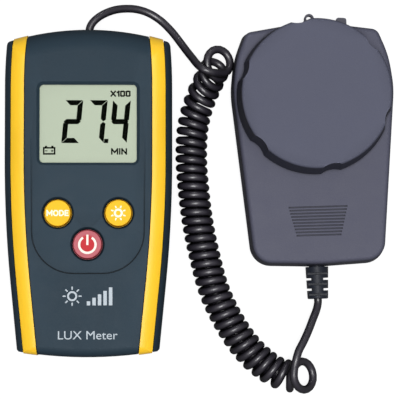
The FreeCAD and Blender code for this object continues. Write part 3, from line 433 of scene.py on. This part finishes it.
WIRE = rubbery("wire_red", (168, 28, 30), rough=0.42, bevel=None)
GUIDE = moulded("light_guide", (226, 231, 226), rough=0.35, vary=0.02)
LABEL = metal("label_plate", (176, 180, 184), rough=0.38, brush="X")
DOME = rubbery("opal_dome", (238, 238, 232), rough=0.42, subsurface=0.35, sheen=0.0, vary=0.02)
WINDOW = clear("clear_window", (0.96, 0.98, 0.96, 1))
FILTER = clear("green_filter", (0.45, 0.75, 0.55, 1))
LCD = lcd_face()

PIECES = (
    (CASE, "front_case rear_case battery_door"),
    (YELLOW_BAND, "left_side_band right_side_band"),
    (YELLOW_KEY, "mode_button backlight_button"),
    (RED_KEY, "power_button"),
    (LABEL, "rear_label"),
    (WINDOW, "display_window"),
    (LCD, "lcd_panel"),
    (GUIDE, "backlight_panel"),
    (ZEBRA, "zebra_strips"),
    (WHITE, "display_frame cord_connector sensor_connector"),
    (BOARD, "main_board sensor_board"),
    (CHIP, "controller_chip photodiode"),
    (TIN, "chip_leads crystal snap_domes battery_terminals"),
    (CAN, "capacitors"),
    (TRIMMER, "calibration_trimmers"),
    (SILICONE, "keypad_mat"),
    (BATTERY, "battery"),
    (BLACK, "battery_snap diffuser_ring"),
    (WIRE, "battery_leads"),
    (STEEL, "case_screws board_screws sensor_screws"),
    (BOOT, "cord_grommet strain_relief_boot"),
    (CORD, "cord_lead_meter coiled_cord cord_lead_sensor"),
    (HEAD, "sensor_front_case sensor_rear_case"),
    (CAP, "sensor_cap"),
    (DOME, "diffuser_dome"),
    (FILTER, "optical_filter"),
    (BRACKET, "lanyard_bracket"),
)
LOOK = {piece: material for material, pieces in PIECES for piece in pieces.split()}
for name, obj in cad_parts.items():
    obj.data.materials.clear()
    obj.data.materials.append(LOOK[name])
    for p in obj.data.polygons:
        p.material_index = 0


# ------------------------------------------------------------------ mesh tools
def link(obj):
    scene.collection.objects.link(obj)
    return obj


def new_mesh(name, bm, material, slot, body=None, smooth=False):
    """Object from bm, riding on body where one is given."""
    bmesh.ops.recalc_face_normals(bm, faces=bm.faces)
    mesh = bpy.data.meshes.new(name)
    bm.to_mesh(mesh)
    bm.free()
    obj = link(bpy.data.objects.new(name, mesh))
    mesh.materials.append(material)
    if smooth:
        for p in mesh.polygons:
            p.use_smooth = True
    if body:
        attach(obj, body)
    return obj


# Flat shapes: outlines in millimetres; layer is the (bottom, top) height of the plate.
def slab(bm, outline, layer):
    """Closed plate from an outline of (x, y)."""
    n = len(outline)
    pairs = zip(outline, outline[1:] + outline[:1])
    if sum(a[0] * b[1] - b[0] * a[1] for a, b in pairs) < 0:
        outline = outline[::-1]
    lo, hi = [[bm.verts.new((x * MM, y * MM, z * MM)) for x, y in outline] for z in layer]
    bm.faces.new(lo[::-1])
    bm.faces.new(hi)
    for i in range(n):
        j = (i + 1) % n
        bm.faces.new((lo[i], lo[j], hi[j], hi[i]))


def rect(x0, y0, x1, y1):
    return [(x0, y0), (x1, y0), (x1, y1), (x0, y1)]


def ring_slab(bm, x, y, radii, layer, start=0.0, end=360.0, steps=48):
    """Closed ring plate, or an arc of one with flat ends; angles in degrees."""
    full = end - start >= 359.9
    count = steps if full else steps + 1
    (r0, r1), (z0, z1) = radii, layer
    rows = []
    for i in range(count):
        a = math.radians(start + (end - start) * i / steps)
        c, s = math.cos(a), math.sin(a)
        rows.append([bm.verts.new(((x + r * c) * MM, (y + r * s) * MM, z * MM))
                     for r, z in ((r0, z0), (r1, z0), (r1, z1), (r0, z1))])
    for i in range(count if full else count - 1):
        a, b = rows[i], rows[(i + 1) % count]
        for k in range(4):
            bm.faces.new((a[k], a[(k + 1) % 4], b[(k + 1) % 4], b[k]))
    if not full:
        bm.faces.new(rows[0])
        bm.faces.new(rows[-1][::-1])


def sun(bm, x, y, radii, ray_reach, half_widths, layer, first=0.0):
    """Ring with eight rays, the first at the angle first; half_widths at root and tip."""
    ring_slab(bm, x, y, radii, layer)
    (r0, r1), (w0, w1) = ray_reach, half_widths
    for i in range(8):
        a = math.radians(first + 45 * i)
        c, s = math.cos(a), math.sin(a)
        ray = [(r0, -w0), (r1, -w1), (r1, w1), (r0, w0)]
        slab(bm, [(x + u * c - v * s, y + u * s + v * c) for u, v in ray], layer)


# Capitals as pen paths in a cell one unit high: (cell width, [path of (x, y), ...])
LETTERS = {
    "M": (0.86, [[(0, 0), (0, 1), (0.43, 0.3), (0.86, 1), (0.86, 0)]]),
    "I": (0.0, [[(0, 0), (0, 1)]]),
    "N": (0.66, [[(0, 0), (0, 1), (0.66, 0), (0.66, 1)]]),
    "X": (0.66, [[(0, 0), (0.66, 1)], [(0, 1), (0.66, 0)]]),
    "1": (0.24, [[(0.24, 0), (0.24, 1), (0.0, 0.78)]]),
    "0": (0.56, [[(0, 0.1), (0, 0.9), (0.12, 1), (0.44, 1), (0.56, 0.9), (0.56, 0.1),
                  (0.44, 0), (0.12, 0), (0, 0.1)]]),
    "O": (0.74, [[(0, 0.25), (0, 0.75), (0.22, 1), (0.52, 1), (0.74, 0.75), (0.74, 0.25),
                  (0.52, 0), (0.22, 0), (0, 0.25)]]),
    "D": (0.66, [[(0, 0), (0, 1), (0.38, 1), (0.66, 0.72), (0.66, 0.28), (0.38, 0), (0, 0)]]),
    "E": (0.5, [[(0, 0), (0, 1), (0.5, 1)], [(0, 0.5), (0.44, 0.5)], [(0, 0), (0.5, 0)]]),
}
LETTER_GAP = 0.34  # in the same units


def stroke_text(name, word, centre, width, height, stroke, layer, material, body, slot):
    """Capitals drawn with square-ended strokes, centred on centre."""
    total = sum(LETTERS[c][0] for c in word) + LETTER_GAP * (len(word) - 1)
    scale_x, scale_y = (width - stroke) / total, height - stroke
    left = centre[0] - (width - stroke) / 2
    bm = bmesh.new()
    pen = 0.0
    n = 0
    for c in word:
        for pts in LETTERS[c][1]:
            spots = [Vector((left + (pen + x) * scale_x, centre[1] + (y - 0.5) * scale_y))
                     for x, y in pts]
            for p, q in zip(spots, spots[1:]):
                d = (q - p).normalized() * (stroke / 2)
                e = Vector((-d.y, d.x))
                n += 1
                # uneven tops, so that overlapping strokes never share a plane
                outline = [tuple(p - d - e), tuple(q + d - e), tuple(q + d + e), tuple(p - d + e)]
                slab(bm, outline, (layer[0], layer[1] + 0.0015 * (n % 9)))
        pen += LETTERS[c][0] + LETTER_GAP
    new_mesh(name, bm, material, slot, body)


def font_text(name, words, centre, width, cap_height, layer, material, body, slot):
    """Lettering in the built-in font as a closed plate, centred on centre."""
    curve = bpy.data.curves.new(name + "_c", "FONT")
    curve.body = words
    curve.align_x = "CENTER"
    curve.size = cap_height * MM / 0.7
    curve.extrude = 0.5 * MM
    curve.resolution_u = 6
    draft = link(bpy.data.objects.new(name + "_t", curve))
    bpy.context.view_layer.update()
    depsgraph = bpy.context.evaluated_depsgraph_get()
    mesh = bpy.data.meshes.new_from_object(draft.evaluated_get(depsgraph))
    bpy.data.objects.remove(draft)
    bm = bmesh.new()
    bm.from_mesh(mesh)
    bmesh.ops.remove_doubles(bm, verts=bm.verts, dist=1e-7)
    xs = [v.co.x for v in bm.verts]
    ys = [v.co.y for v in bm.verts]
    stretch = width * MM / (max(xs) - min(xs))
    mid_x, mid_y = (max(xs) + min(xs)) / 2, (max(ys) + min(ys)) / 2
    for v in bm.verts:
        v.co.x = (v.co.x - mid_x) * stretch + centre[0] * MM
        v.co.y = (v.co.y - mid_y) + centre[1] * MM
        v.co.z = (layer[1] if v.co.z > 0 else layer[0]) * MM
    new_mesh(name, bm, material, slot, body)


# ------------------------------------------------------------------ display
CASE_PRINT = ink("light_print", (190, 200, 208), spec=0.1)
POWER_PRINT = ink("white_print", (246, 240, 226), rough=0.45)
KEY_PRINT = ink("pale_print", (255, 252, 226), rough=0.45)
SEGMENT = ink("lcd_segment", (6, 8, 5), rough=0.8, spec=0.02)

lcd_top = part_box("lcd_panel")[1].z / MM
LCD_LAYER = (lcd_top + 0.01, lcd_top + 0.05)
LCD_OWNER = dict(material=SEGMENT, body="meter", slot="lcd")

DIGIT_W, DIGIT_H, DIGIT_STROKE = 7.0, 16.9, 2.0
DIGIT_GAP = 0.12  # set-back of a segment from its corner
DIGIT_Y = 18.9
DIGIT_SLANT = math.tan(math.radians(5.5))
DIGITS = (("abged", -10.6), ("abc", -1.0), ("fgbc", 8.1))  # 2, 7, 4: lit segments, left edge
POINT_SIZE, POINT_LEAN = 1.65, 0.15
POINT_X = DIGITS[-1][1] - 1.95


def segment(kind, x0, y0):
    """Slanted outline of a seven-segment bar, in a digit with its lower left corner at x0, y0."""
    w, h, t, g = DIGIT_W, DIGIT_H, DIGIT_STROKE, DIGIT_GAP
    middle, half = h / 2, t / 2
    if kind in "ad":
        pts = [(g, h), (w - g, h), (w - g - t, h - t), (g + t, h - t)]
    elif kind == "g":
        pts = [(g, middle), (g + half, middle + half), (w - g - half, middle + half),
               (w - g, middle), (w - g - half, middle - half), (g + half, middle - half)]
    else:
        pts = [(0, h - g), (t, h - g - t), (t, middle + g + half), (half, middle + g),
               (0, middle + g + half * 0.6)]
    # drawn as a top or upper left bar, then mirrored into place
    if kind in "dec":
        pts = [(x, h - y) for x, y in pts]
    if kind in "bc":
        pts = [(w - x, y) for x, y in pts]
    return [(x0 + x + y * DIGIT_SLANT, y0 + y) for x, y in pts]


def lcd_digits():
    bm = bmesh.new()
    for lit, x in DIGITS:
        for kind in lit:
            slab(bm, segment(kind, x, DIGIT_Y), LCD_LAYER)
    x, y, size = POINT_X, DIGIT_Y, POINT_SIZE
    point = [(x, y), (x + size, y), (x + size + POINT_LEAN, y + size), (x + POINT_LEAN, y + size)]
    slab(bm, point, LCD_LAYER)
    new_mesh("lcd_digits", bm, **LCD_OWNER)


def lcd_battery_mark():
    """Battery outline with two terminals on top, a minus and a plus inside."""
    x, y = -15.3, 15.8
    half_w, half_h, wall = 4.9 / 2, 3.0 / 2, 0.62
    inner_w, inner_h = half_w - wall, half_h - wall
    sign, arm, line = 1.15, 0.5, 0.16  # plus and minus: offset, half length, half thickness
    boxes = (
        (-half_w, -half_h, half_w, -inner_h), (-half_w, inner_h, half_w, half_h),
        (-half_w, -inner_h, -inner_w, inner_h), (inner_w, -inner_h, half_w, inner_h),
        (-1.7, half_h, -0.8, half_h + 0.5), (0.8, half_h, 1.7, half_h + 0.5),
        (-sign - arm, -line, -sign + arm, line), (sign - arm, -line, sign + arm, line),
        (sign - line, line, sign + line, arm), (sign - line, -arm, sign + line, -line),
    )
    bm = bmesh.new()
    for x0, y0, x1, y1 in boxes:
        slab(bm, rect(x + x0, y + y0, x + x1, y + y1), LCD_LAYER)
    new_mesh("lcd_battery_mark", bm, **LCD_OWNER)


lcd_digits()
stroke_text("lcd_range_mark", "X100", centre=(12.65, 38.4), width=7.9, height=2.4, stroke=0.6,
            layer=LCD_LAYER, **LCD_OWNER)
stroke_text("lcd_min_mark", "MIN", centre=(12.1, 15.6), width=6.3, height=2.5, stroke=0.58,
            layer=LCD_LAYER, **LCD_OWNER)
lcd_battery_mark()


# ------------------------------------------------------------------ legends
def print_layer(z):
    """Ink on a surface at height z, rooted a little below it."""
    return (z - 0.02, z + 0.05)


def key_top(node):
    """Middle of a key and the layer of its print."""
    lo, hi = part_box(node)
    return (lo.x + hi.x) / 2 / MM, (lo.y + hi.y) / 2 / MM, print_layer(hi.z / MM)


def mode_legend():
    x, y, layer = key_top("mode_button")
    stroke_text("mode_legend", "MODE", centre=(x, y), width=8.6, height=2.35, stroke=0.5,
                layer=layer, material=KEY_PRINT, body="mode_key", slot="white_plastic")


def backlight_legend():
    x, y, layer = key_top("backlight_button")
    bm = bmesh.new()
    sun(bm, x, y, radii=(0.95, 1.75), ray_reach=(2.1, 3.05), half_widths=(0.32, 0.22),
        layer=layer, first=22.5)
    new_mesh("backlight_legend", bm, KEY_PRINT, "white_plastic", "backlight_key")


def power_legend():
    """Ring open towards +Y with a bar in the opening."""
    x, y, layer = key_top("power_button")
    bm = bmesh.new()
    ring_slab(bm, x, y - 0.15, (2.75, 3.65), layer, start=122.0, end=418.0, steps=64)
    slab(bm, rect(x - 0.42, y - 0.3, x + 0.42, y + 3.75), layer)
    new_mesh("power_legend", bm, POWER_PRINT, "white_plastic", "power_key")


def light_level_pictogram():
    """Sun with five bars that rise towards +X."""
    x, y = -6.1, -41.2
    bar_x, bar_pitch, bar_w, bar_y = -0.4, 2.15, 1.35, y - 3.6
    first_h, rise = 1.6, 1.35
    bm = bmesh.new()
    sun(bm, x, y, radii=(1.25, 1.95), ray_reach=(2.5, 3.7), half_widths=(0.26, 0.26),
        layer=FACE_LAYER)
    for i in range(5):
        left = bar_x + bar_pitch * i
        slab(bm, rect(left, bar_y, left + bar_w, bar_y + (first_h + rise * i)), FACE_LAYER)
    new_mesh("light_level_pictogram", bm, CASE_PRINT, "white_plastic", "meter")


FACE_LAYER = print_layer(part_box("front_case")[1].z / MM)
mode_legend()
backlight_legend()
power_legend()
font_text("name_legend", "LUX Meter", centre=(0.0, -56.4), width=23.2, cap_height=3.3,
          layer=FACE_LAYER, material=CASE_PRINT, body="meter", slot="white_plastic")
light_level_pictogram()

# ------------------------------------------------------------------ cord
COIL_R, COIL_PITCH, CORD_R = 4.9, 3.5, 1.6
TURN_GAP = 0.2         # least space between turns on the inside of a bend
COIL_A0, COIL_A1 = 57.0, 79.0  # angles of the wire at the two ends, degrees
COIL_KNOTS = 10        # knots for each turn
SIDES = 16
AXIS_STEPS, REACH = 600, 12  # steps of the even part's axis, and how many its direction spans

# (x, y, z) of the coil's centre line over its even part, from its +Y to its -Y end
AXIS = [
    (42.11, 29.62, 6.5), (41.5, 25.88, 6.5), (41.17, 21.77, 6.5), (41.04, 17.31, 6.5),
    (41.11, 12.04, 6.5), (41.71, 4.34, 6.5), (42.58, -4.16, 6.5), (44.1, -14.26, 6.5),
    (46.74, -26.37, 6.5), (50.1, -38.45, 6.5), (55.31, -49.72, 6.5), (62.12, -60.17, 6.5),
    (67.14, -65.72, 6.5), (71.91, -69.49, 6.62),
]
# loosened turns at the two ends: turns from that end, centre, direction along the coil, radius
TOP_TURNS = [
    (0.0, (52.8, 53.18, 17.2), (-0.6, -0.02, -0.8), 5.3),
    (0.5, (51.84, 52.81, 15.1), (-0.604, -0.117, -0.788), 5.3),
    (1.5, (49.81, 49.16, 11.1), (-0.588, -0.382, -0.713), 5.1),
    (2.5, (47.86, 45.41, 8.9), (-0.524, -0.603, -0.602), 4.95),
    (3.5, (45.95, 41.51, 7.5), (-0.449, -0.778, -0.438), COIL_R),
    (4.5, (44.3, 37.43, 6.85), (-0.376, -0.885, -0.276), COIL_R),
    (5.5, (43.01, 33.47, 6.6), (-0.3, -0.945, -0.131), COIL_R),
    (6.5, AXIS[0], (-0.205, -0.978, -0.035), COIL_R),
]
END_TURNS = [
    (3.5, AXIS[-1], (0.825, -0.565, 0.02), COIL_R),
    (2.5, (75.54, -71.62, 6.9), (0.892, -0.45, 0.05), COIL_R),
    (1.5, (80.0, -72.88, 8.1), (0.95, -0.22, 0.22), 5.1),
    (0.5, (85.83, -72.58, 12.5), (0.71, -0.02, 0.7), 5.75),
    (0.0, (85.41, -72.61, 14.7), (0.66, 0.0, 0.75), 5.75),
]
# (x, y, z) along the lead from the meter to the coil
METER_LEAD = [
    (0, 53.0, 15), (0, 56.0, 15), (0, 59.0, 15), (0, 62.0, 15), (0, 64.2, 15), (0.12, 66.0, 15),
    (0.85, 67.9, 14.9), (2.3, 69.7, 14.6), (4.3, 71.4, 13.9), (6.9, 73.0, 12.6),
    (10.5, 74.5, 10.7), (14.6, 75.3, 8.6), (19.0, 75.3, 6.8), (23.6, 74.1, 5.5),
    (28.3, 71.3, 5.0), (33.0, 66.6, 6.1), (36.4, 61.9, 8.3), (39.2, 57.6, 11.6),
    (41.4, 54.2, 15.4), (43.4, 51.2, 18.8), (45.9, 48.9, 21.1), (48.9, 48.0, 20.4),
]
# (x, y, z) along the lead from the coil towards the head
HEAD_LEAD = [
    (82.0, -66.9, 19.0), (83.1, -63.2, 18.2), (85.3, -59.2, 16.5), (87.7, -54.4, 13.9),
    (89.7, -49.8, 11.3), (91.2, -46.4, 9.2),
]
# straight end of the cord: x, z and stations along y, in the head's own axes
TAIL_X, TAIL_Z = -0.45, 8.0
TAIL_Y = (-82.0, -80.2, -78.0, -75.0, -71.0, -66.0, -60.0, -50.6)
HEAD_X, HEAD_Y, HEAD_YAW = 89.93, 38.5, math.radians(1.7)


# Plain tuples keep double precision, which mathutils vectors don't.
def sub(a, b):
    return (a[0] - b[0], a[1] - b[1], a[2] - b[2])


def add(a, b, k=1.0):
    return (a[0] + b[0] * k, a[1] + b[1] * k, a[2] + b[2] * k)


def dot(a, b):
    return a[0] * b[0] + a[1] * b[1] + a[2] * b[2]


def cross(a, b):
    return (a[1] * b[2] - a[2] * b[1], a[2] * b[0] - a[0] * b[2], a[0] * b[1] - a[1] * b[0])


def length(a):
    return math.sqrt(dot(a, a))


def unit(a):
    n = length(a)
    return (a[0] / n, a[1] / n, a[2] / n)


def square_to(a, t):
    """Unit vector along the part of a that is square to t."""
    return unit(sub(a, tuple(c * dot(a, t) for c in t)))


def distances(points):
    """Distance along the line at each point."""
    out = [0.0]
    for a, b in zip(points, points[1:]):
        out.append(out[-1] + length(sub(b, a)))
    return out


def hermite(t):
    """Weights of the start, its slope, the end and its slope."""
    return (2 * t ** 3 - 3 * t ** 2 + 1, t ** 3 - 2 * t ** 2 + t,
            -2 * t ** 3 + 3 * t ** 2, t ** 3 - t ** 2)


def smooth(keys, values, at):
    """Smooth value at a place between uneven keys; values are lists of numbers."""
    n = len(keys)
    i = 0
    while i < n - 2 and keys[i + 1] <= at:
        i += 1
    h = keys[i + 1] - keys[i]

    def slope(j):
        if j in (0, n - 1):
            k = max(j, 1)
            return [(b - a) / (keys[k] - keys[k - 1]) for a, b in zip(values[k - 1], values[k])]
        d0, d1 = keys[j] - keys[j - 1], keys[j + 1] - keys[j]
        return [((b - a) / d0 * d1 + (c - b) / d1 * d0) / (d0 + d1)
                for a, b, c in zip(values[j - 1], values[j], values[j + 1])]

    h00, h10, h01, h11 = hermite((at - keys[i]) / h)
    return [h00 * a + h10 * h * p + h01 * b + h11 * h * q
            for a, b, p, q in zip(values[i], values[i + 1], slope(i), slope(i + 1))]


def even_turns():
    """Centre and direction at each whole turn inside the even part, and the number of turns."""
    last = AXIS_STEPS
    run = distances(AXIS)
    line = [tuple(smooth(run, AXIS, run[-1] * i / last)) for i in range(last + 1)]
    fine = distances(line)
    # turns sit closer on the inside of a bend, so the pitch grows there
    turn = [0.0]
    for i in range(last):
        a, b = max(i - REACH, 0), min(i + REACH + 1, last)
        change = sub(unit(sub(line[b], line[b - 1])), unit(sub(line[a + 1], line[a])))
        bend = length(change) / (fine[b] - fine[a])
        pitch = max(COIL_PITCH, (2 * CORD_R + TURN_GAP) / (1 - COIL_R * bend))
        turn.append(turn[-1] + (fine[i + 1] - fine[i]) / pitch)
    count = int(round(turn[-1]))
    stations = []
    for q in range(1, count):
        want = turn[-1] * q / count
        j = 0
        while turn[j + 1] < want:
            j += 1
        f = (want - turn[j]) / (turn[j + 1] - turn[j])
        centre = add(line[j], sub(line[j + 1], line[j]), f)
        along = unit(sub(line[min(j + REACH, last)], line[max(j - REACH + 1, 0)]))
        stations.append((centre, along))
    return stations, count


def coil_stations():
    """Turn number and (centre, direction, radius) of all stations, and the total of turns."""
    stations, count = even_turns()
    start, end = TOP_TURNS[-1][0], END_TURNS[0][0]
    total = start + count + end
    # nudged so that the wire ends at its closing angle
    total += ((COIL_A0 - COIL_A1) / 360.0 - total + 0.5) % 1.0 - 0.5
    extra = total - start - end
    table = [(k, c, unit(d), r) for k, c, d, r in TOP_TURNS]
    table += [(start + extra * q / count, c, d, COIL_R) for q, (c, d) in enumerate(stations, 1)]
    table += [(total - k, c, unit(d), r) for k, c, d, r in END_TURNS]
    return [row[0] for row in table], [[*c, *d, r] for _, c, d, r in table], total


def coil_points():
    """Wire centre line of the coil: a left-hand helix wound round its axis."""
    keys, values, total = coil_stations()
    # frame carried along without twist, from the middle to both ends
    steps = int(round(total * 40))
    along = [unit(smooth(keys, values, total * i / steps)[3:6]) for i in range(steps + 1)]
    mid = steps // 2
    side = [None] * (steps + 1)
    side[mid] = square_to((1, 0, 0), along[mid])
    for i in range(mid + 1, steps + 1):
        side[i] = square_to(side[i - 1], along[i])
    for i in range(mid - 1, -1, -1):
        side[i] = square_to(side[i + 1], along[i])
    n = int(round(total * COIL_KNOTS))
    out = []
    for k in range(n + 1):
        w = total * k / n
        i = min(int(w / total * steps), steps - 1)
        f = w / total * steps - i
        station = smooth(keys, values, w)
        t = unit(station[3:6])
        u = square_to(add(side[i], sub(side[i + 1], side[i]), f), t)
        b = cross(t, u)
        a = math.radians(COIL_A0 - 360.0 * w)
        radius = station[6]
        out.append(add(add(station[:3], u, radius * math.cos(a)), b, radius * math.sin(a)))
    return out


def tail_points():
    c, s = math.cos(HEAD_YAW), math.sin(HEAD_YAW)
    return [(HEAD_X + TAIL_X * c - y * s, HEAD_Y + TAIL_X * s + y * c, TAIL_Z) for y in TAIL_Y]


def cord_path():
    """Points along the whole cord, and for each a share from 0 on the meter's side to 1 on the
    head's side.
    """
    coil = coil_points()
    knots = [Vector(p) for p in METER_LEAD + coil + HEAD_LEAD + tail_points()]
    last = len(knots) - 1
    arc = [0.0]
    for a, b in zip(knots, knots[1:]):
        arc.append(arc[-1] + (b - a).length)
    tangents = []
    for i in range(last + 1):
        if 0 < i < last:
            d0, d1 = arc[i] - arc[i - 1], arc[i + 1] - arc[i]
            v0, v1 = (knots[i] - knots[i - 1]) / d0, (knots[i + 1] - knots[i]) / d1
            tangents.append((v0 * d1 + v1 * d0) / (d0 + d1))
        else:
            k = max(i, 1)
            tangents.append((knots[k] - knots[k - 1]) / (arc[k] - arc[k - 1]))
    coil_start = arc[len(METER_LEAD)]
    coil_end = arc[len(METER_LEAD) + len(coil) - 1]
    path, share = [], []
    for i in range(last):
        span = arc[i + 1] - arc[i]
        pieces = max(2, int(round(span / 1.6)))
        for k in range(pieces):
            t = k / pieces
            h00, h10, h01, h11 = hermite(t)
            path.append(knots[i] * h00 + tangents[i] * (span * h10)
                        + knots[i + 1] * h01 + tangents[i + 1] * (span * h11))
            # the share reaches 1 three quarters along the coil and stays 1 beyond
            s = (arc[i] + span * t - coil_start) / (0.75 * (coil_end - coil_start))
            share.append(min(1.0, max(0.0, s)))
    return path + [knots[-1]], share + [1.0]


def build_cord():
    path, share = cord_path()
    bm = bmesh.new()
    rows = []
    side = Vector((0, 0, 1))
    turns = [2 * math.pi * k / SIDES for k in range(SIDES)]
    for i, p in enumerate(path):
        t = (path[min(i + 1, len(path) - 1)] - path[max(i - 1, 0)]).normalized()
        side = (side - t * side.dot(t)).normalized()
        other = t.cross(side)
        rows.append([bm.verts.new((p + side * (CORD_R * math.cos(a))
                                   + other * (CORD_R * math.sin(a))) * MM) for a in turns])
    for a, b in zip(rows, rows[1:]):
        for k in range(SIDES):
            q = (k + 1) % SIDES
            bm.faces.new((a[k], a[q], b[q], b[k]))
    bm.faces.new(rows[0][::-1])
    bm.faces.new(rows[-1])
    cord = new_mesh("cord", bm, CORD, "cord_rubber", smooth=True)
    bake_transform(cord)
    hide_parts("cord_lead_meter", "coiled_cord", "cord_lead_sensor")


build_cord()


# ------------------------------------------------------------------ floor, light, camera
def build_floor():
    half, drop = 3.0, 0.0002  # half width, and gap below the lowest piece
    paper = studio_paper()
    z = min(cad_lo.z, 0.0) - drop
    mesh = bpy.data.meshes.new("floor")
    mesh_corners = [(x, y, z) for x, y in rect(-half, -half, half, half)]
    bm = bmesh.new()
    bm.faces.new([bm.verts.new(corner) for corner in mesh_corners])
    bm.to_mesh(mesh)
    bm.free()
    floor = link(bpy.data.objects.new("floor", mesh))
    mesh.materials.append(paper)


def build_world():
    """Grey from below, brightening to white overhead."""
    world = bpy.data.worlds.new("studio")
    scene.world = world
    world.use_nodes = True
    nodes, links = world.node_tree.nodes, world.node_tree.links
    coords = nodes.new("ShaderNodeTexCoord")
    split = nodes.new("ShaderNodeSeparateXYZ")
    ramp = nodes.new("ShaderNodeValToRGB")
    background = nodes["Background"]
    links.new(coords.outputs["Generated"], split.inputs[0])
    links.new(split.outputs[2], ramp.inputs["Fac"])
    low, high = ramp.color_ramp.elements
    low.position, low.color = 0.15, (0.62, 0.62, 0.64, 1)
    high.position, high.color = 0.95, (1, 1, 1, 1)
    links.new(ramp.outputs["Color"], background.inputs["Color"])
    background.inputs["Strength"].default_value = 0.30


SCENE_MIDDLE = Vector((0.0447, -0.0025, 0.012))


def area(name, offset, height, size, power, size_y=None):
    """Area light aimed at the middle, offset from it in x and y."""
    light = bpy.data.lights.new(name, "AREA")
    light.energy = power
    light.size = size
    if size_y:
        light.shape = "RECTANGLE"
        light.size_y = size_y
    obj = link(bpy.data.objects.new(name, light))
    place = (SCENE_MIDDLE.x + offset[0], SCENE_MIDDLE.y + offset[1], height)
    obj.location = place
    obj.rotation_mode = "QUATERNION"
    obj.rotation_quaternion = (SCENE_MIDDLE - Vector(place)).to_track_quat("-Z", "Y")


def build_camera():
    """Long lens almost overhead, its right-hand edge kept along X."""
    lens = bpy.data.cameras.new("camera")
    camera = link(bpy.data.objects.new("camera", lens))
    lens.lens = 179.3
    lens.sensor_width = 36.0
    lens.clip_start, lens.clip_end = 0.05, 20.0
    eye = Vector((0.0207, -0.0522, 0.809))
    aim = Vector((0.04436, -0.00248, 0.012))
    fwd = (aim - eye).normalized()
    right = (Vector((1, 0, 0)) - fwd * fwd.x).normalized()
    up = right.cross(fwd)
    rows = [(right[i], up[i], -fwd[i], eye[i]) for i in range(3)]
    camera.matrix_world = Matrix((*rows, (0, 0, 0, 1)))
    scene.camera = camera


build_floor()
build_world()
area("key", offset=(-0.02, -0.13), height=1.35, size=0.40, power=13.8)
area("fill", offset=(0.25, 0.25), height=1.25, size=0.40, power=2.0)
area("rim", offset=(0.02, 1.10), height=0.42, size=0.14, power=0.7, size_y=0.05)
build_camera()
